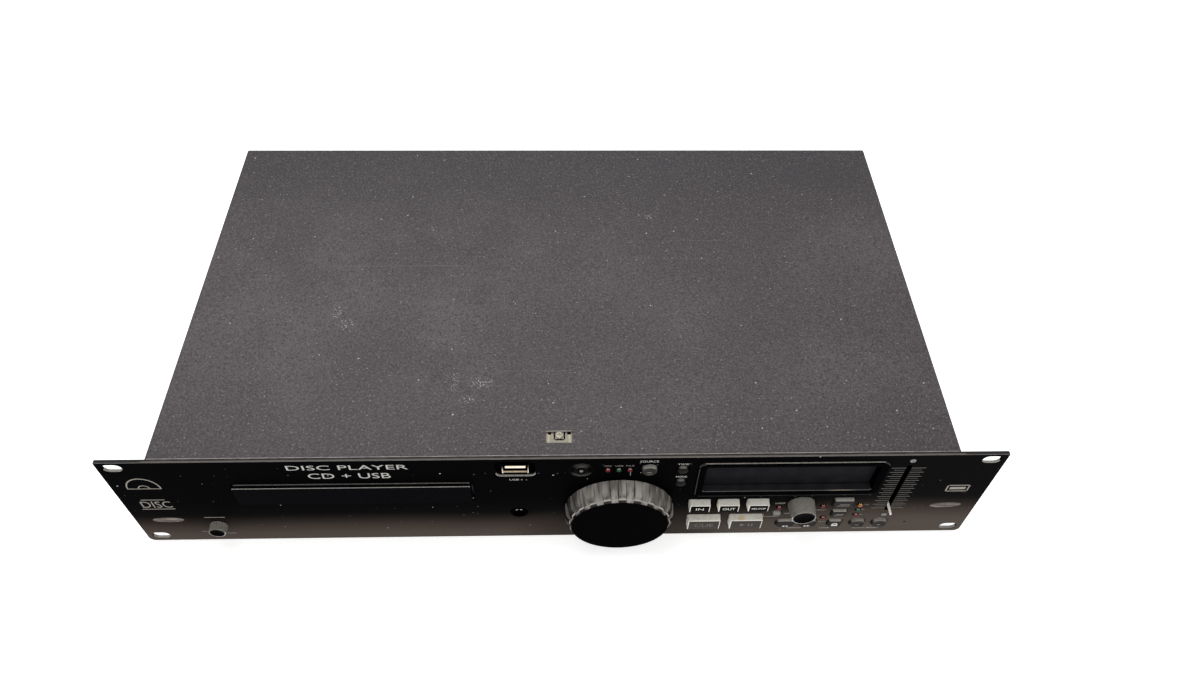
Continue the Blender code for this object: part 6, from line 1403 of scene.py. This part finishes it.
def display():
    """The black surround, its sloped sill and the dark glass behind it."""
    rim, pane = Box("display_frame"), Box("display_module")
    middle, front, back, low, top = rim.middle, rim.front, rim.back, rim.low, rim.top

    def outer(grow):
        return rim.outline(grow, DISPLAY_CORNER + grow)

    def inner(grow):
        return pane.outline(grow, OPENING_CORNER + grow, -2 * DISPLAY_LIP, -2 * DISPLAY_LIP)

    sections = [(back, outer(0)), (front + 0.5, outer(0))]
    sections += [(y, outer(grow)) for y, grow in eased(front, 0, DISPLAY_EASE)[1:]]
    sections += [(front, outer(-DISPLAY_RIM))]
    sections += [(front + y, inner(grow)) for y, grow in OPENING] + [(back, inner(0))]
    mesh = hollowed(sections)
    # Painted highlights: the frame's top, its upper corner walls, the sill under the glass and the sill's
    # front edge.
    coated(mesh, 1, lambda c, n: n.z > 0.4 and c.z > top - 2.0 and c.y > front + 0.5)
    coated(mesh, 2, lambda c, n: n.z > 0.1 and c.z > top - 5 and c.y > front + 0.05 and
           abs(c.x - middle[0]) > rim.wide / 2 - 3)
    coated(mesh, 3, lambda c, n: n.z > 0.2 and c.z < middle[1] and c.y > front + 0.5)
    coated(mesh, 4, lambda c, n: n.z > 0.2 and c.z < middle[1] and front + 0.15 < c.y < front + 0.5)
    coated(mesh, 5, lambda c, n: n.y < -0.5 and c.y < front + 0.1 and
           (c.z < low + 0.8 or c.x < rim.left + 0.8 and c.z < top - 5))
    dressed("display_frame", "display_surround", mesh, "gloss black", "frame line", "dull edge", "sill",
            "sill edge", "faint line")
    levels = [(pane.back, 0)] + eased(pane.front, 0, GLASS_EASE)
    mesh = raised(levels, lambda grow: pane.outline(grow, GLASS_CORNER))
    dressed("display_module", "display_glass", mesh, "glass")


# Rear panel, sides and feet.

REAR = Box("rear_panel").back
REAR_EASE = 0.3
TO_BACK = Matrix.Rotation(math.pi, 4, "Z")
SIDE_SCREWS = (-60, 12, (0, 80, 0))
REAR_SCREW_ROWS = (PANEL.low + 8, COVER.top - 7)
REAR_SCREWS = (-205, 5, (102.5, 0, 0))
OUTPUTS = (("white_sleeve", 27.42, "white_plastic"), ("red_sleeve", 13.42, "red plastic"),
           ("black_sleeve", 41.42, "dark_grey_plastic"))
OUTPUT_HIGH = 25.0
SLEEVE, SLEEVE_LIP, INSERT, SOCKET_HOLE = 4.25, 4.0, 3.5, 1.7
PINS = ((143, 43), (157, 43), (150, 47))
PIN, PIN_WIDE, PIN_TALL, PIN_CORNER = ((10, 0), (0.0, 0), (-0.15, -0.2)), 2.1, 4.1, 0.2
REAR_WORDS = (("LINE OUT", 20.4, 33.6, 2.0, 15.0), ("L", 27.4, 16.2, 1.8, 1.2), ("R", 13.4, 16.2, 1.8, 1.5),
              ("DIGITAL", 41.4, 33.6, 2.0, 11.0), ("AC IN", 159.0, 63.0, 2.4, 11.0))
FOOT = ((0, 0.96), (0.3, 1), (0.75, 1), (0.95, 0.96), (1, 0.88), (1, 0.42), (0.5, 0.36))


def at_back(mesh, x=0.0, z=0.0):
    """A mesh made at the origin for the front, turned to face backwards on the rear panel."""
    mesh.transform(TO_BACK)
    return moved(mesh, x, REAR, z)


def rear_sheet():
    """The rear panel with eased edges round it and round its openings, and its screws."""
    outlines = [[(-x, z) for x, z in loop] for loop in face_outlines("rear_panel", REAR)]
    outlines.sort(key=lambda loop: extent(loop)[0])
    mesh = at_back(plate(outlines, 0.0, Box("rear_panel").deep, REAR_EASE))
    dressed("rear_panel", "rear_sheet", mesh, "grey_paint", "rear edge")
    start, count, step = REAR_SCREWS
    heads = [row(at_back(screw_head(*SHEET_SCREW), start, z), count, step) for z in REAR_SCREW_ROWS]
    piece("rear_screws", heads, "black screw")


def cover_screws():
    """Three screws low on each side of the cover."""
    start, high, step = SIDE_SCREWS
    heads = []
    for side in (-1, 1):
        head = screw_head(*SHEET_SCREW)
        head.transform(Matrix.Rotation(side * math.pi / 2, 4, "Z"))
        heads.append(row(moved(head, side * (COVER.right + COVER_SPREAD), start, high), 3, step))
    piece("cover_screws", heads, "black screw")


def outputs():
    """A plated sleeve and a coloured insert on each output barrel, the inlet's pins and the words."""
    end = REAR - Box("output_sockets").back
    lip, face = end - 0.05, end - 0.03
    sleeve = ((0.0, SLEEVE), (0.3 + end, SLEEVE), (lip, SLEEVE_LIP), (lip, INSERT), (0.0, INSERT))
    insert = ((0.0, INSERT), (face, INSERT), (face, SOCKET_HOLE), (0.0, SOCKET_HOLE))
    for name, x, look in OUTPUTS:
        for part, levels, coat in ((name + "_shell", sleeve, "steel"), (name, insert, look)):
            piece(part, at_back(spun_ring(levels, steps=48), x, OUTPUT_HIGH), coat)
    pins = [at_back(raised(PIN, lambda grow: rectangle(
        (0, 0), PIN_WIDE + grow, PIN_TALL + grow, PIN_CORNER)), x, z) for x, z in PINS]
    piece("inlet_pins", pins, "steel")
    printed = [at_back(words(text, 0, 0, tall, wide, 0.0), x, z) for text, x, z, tall, wide in REAR_WORDS]
    piece("rear_words", printed, "print")


def feet():
    """Turned rubber feet with a soft edge and a hollow for their screw."""
    tall = Box("chassis_pan").low
    for node in nodes:
        if node.startswith("foot_"):
            foot = Box(node)
            mesh = spun([(-tall * y, foot.wide / 2 * share) for y, share in FOOT], steps=64)
            mesh.transform(Matrix.Rotation(math.pi / 2, 4, "X"))
            moved(mesh, foot.middle[0], (foot.front + foot.back) / 2, tall)
            dressed(node, node + "_turned", mesh, "rubber")


finish = looks()
flutes, rows = flute_tree(), row_tree()
camera()
studio()
cad_finishes()
front_panel()
printing()
tray_door()
jog_wheel()
knob("track_knob", "track_knob_cap", TRACK_BASE, TRACK_TIP, TRACK_EASE)
knob("level_knob", "level_knob_ribbed", LEVEL_BASE, LEVEL_TIP, LEVEL_EASE, LEVEL_RIBS, LEVEL_RIB)
ivory_buttons()
grey_buttons()
open_close()
lights()
usb_socket()
phones_socket()
fader()
display()
folded_cover()
cover_window()
front_screws()
rear_sheet()
cover_screws()
outputs()
feet()
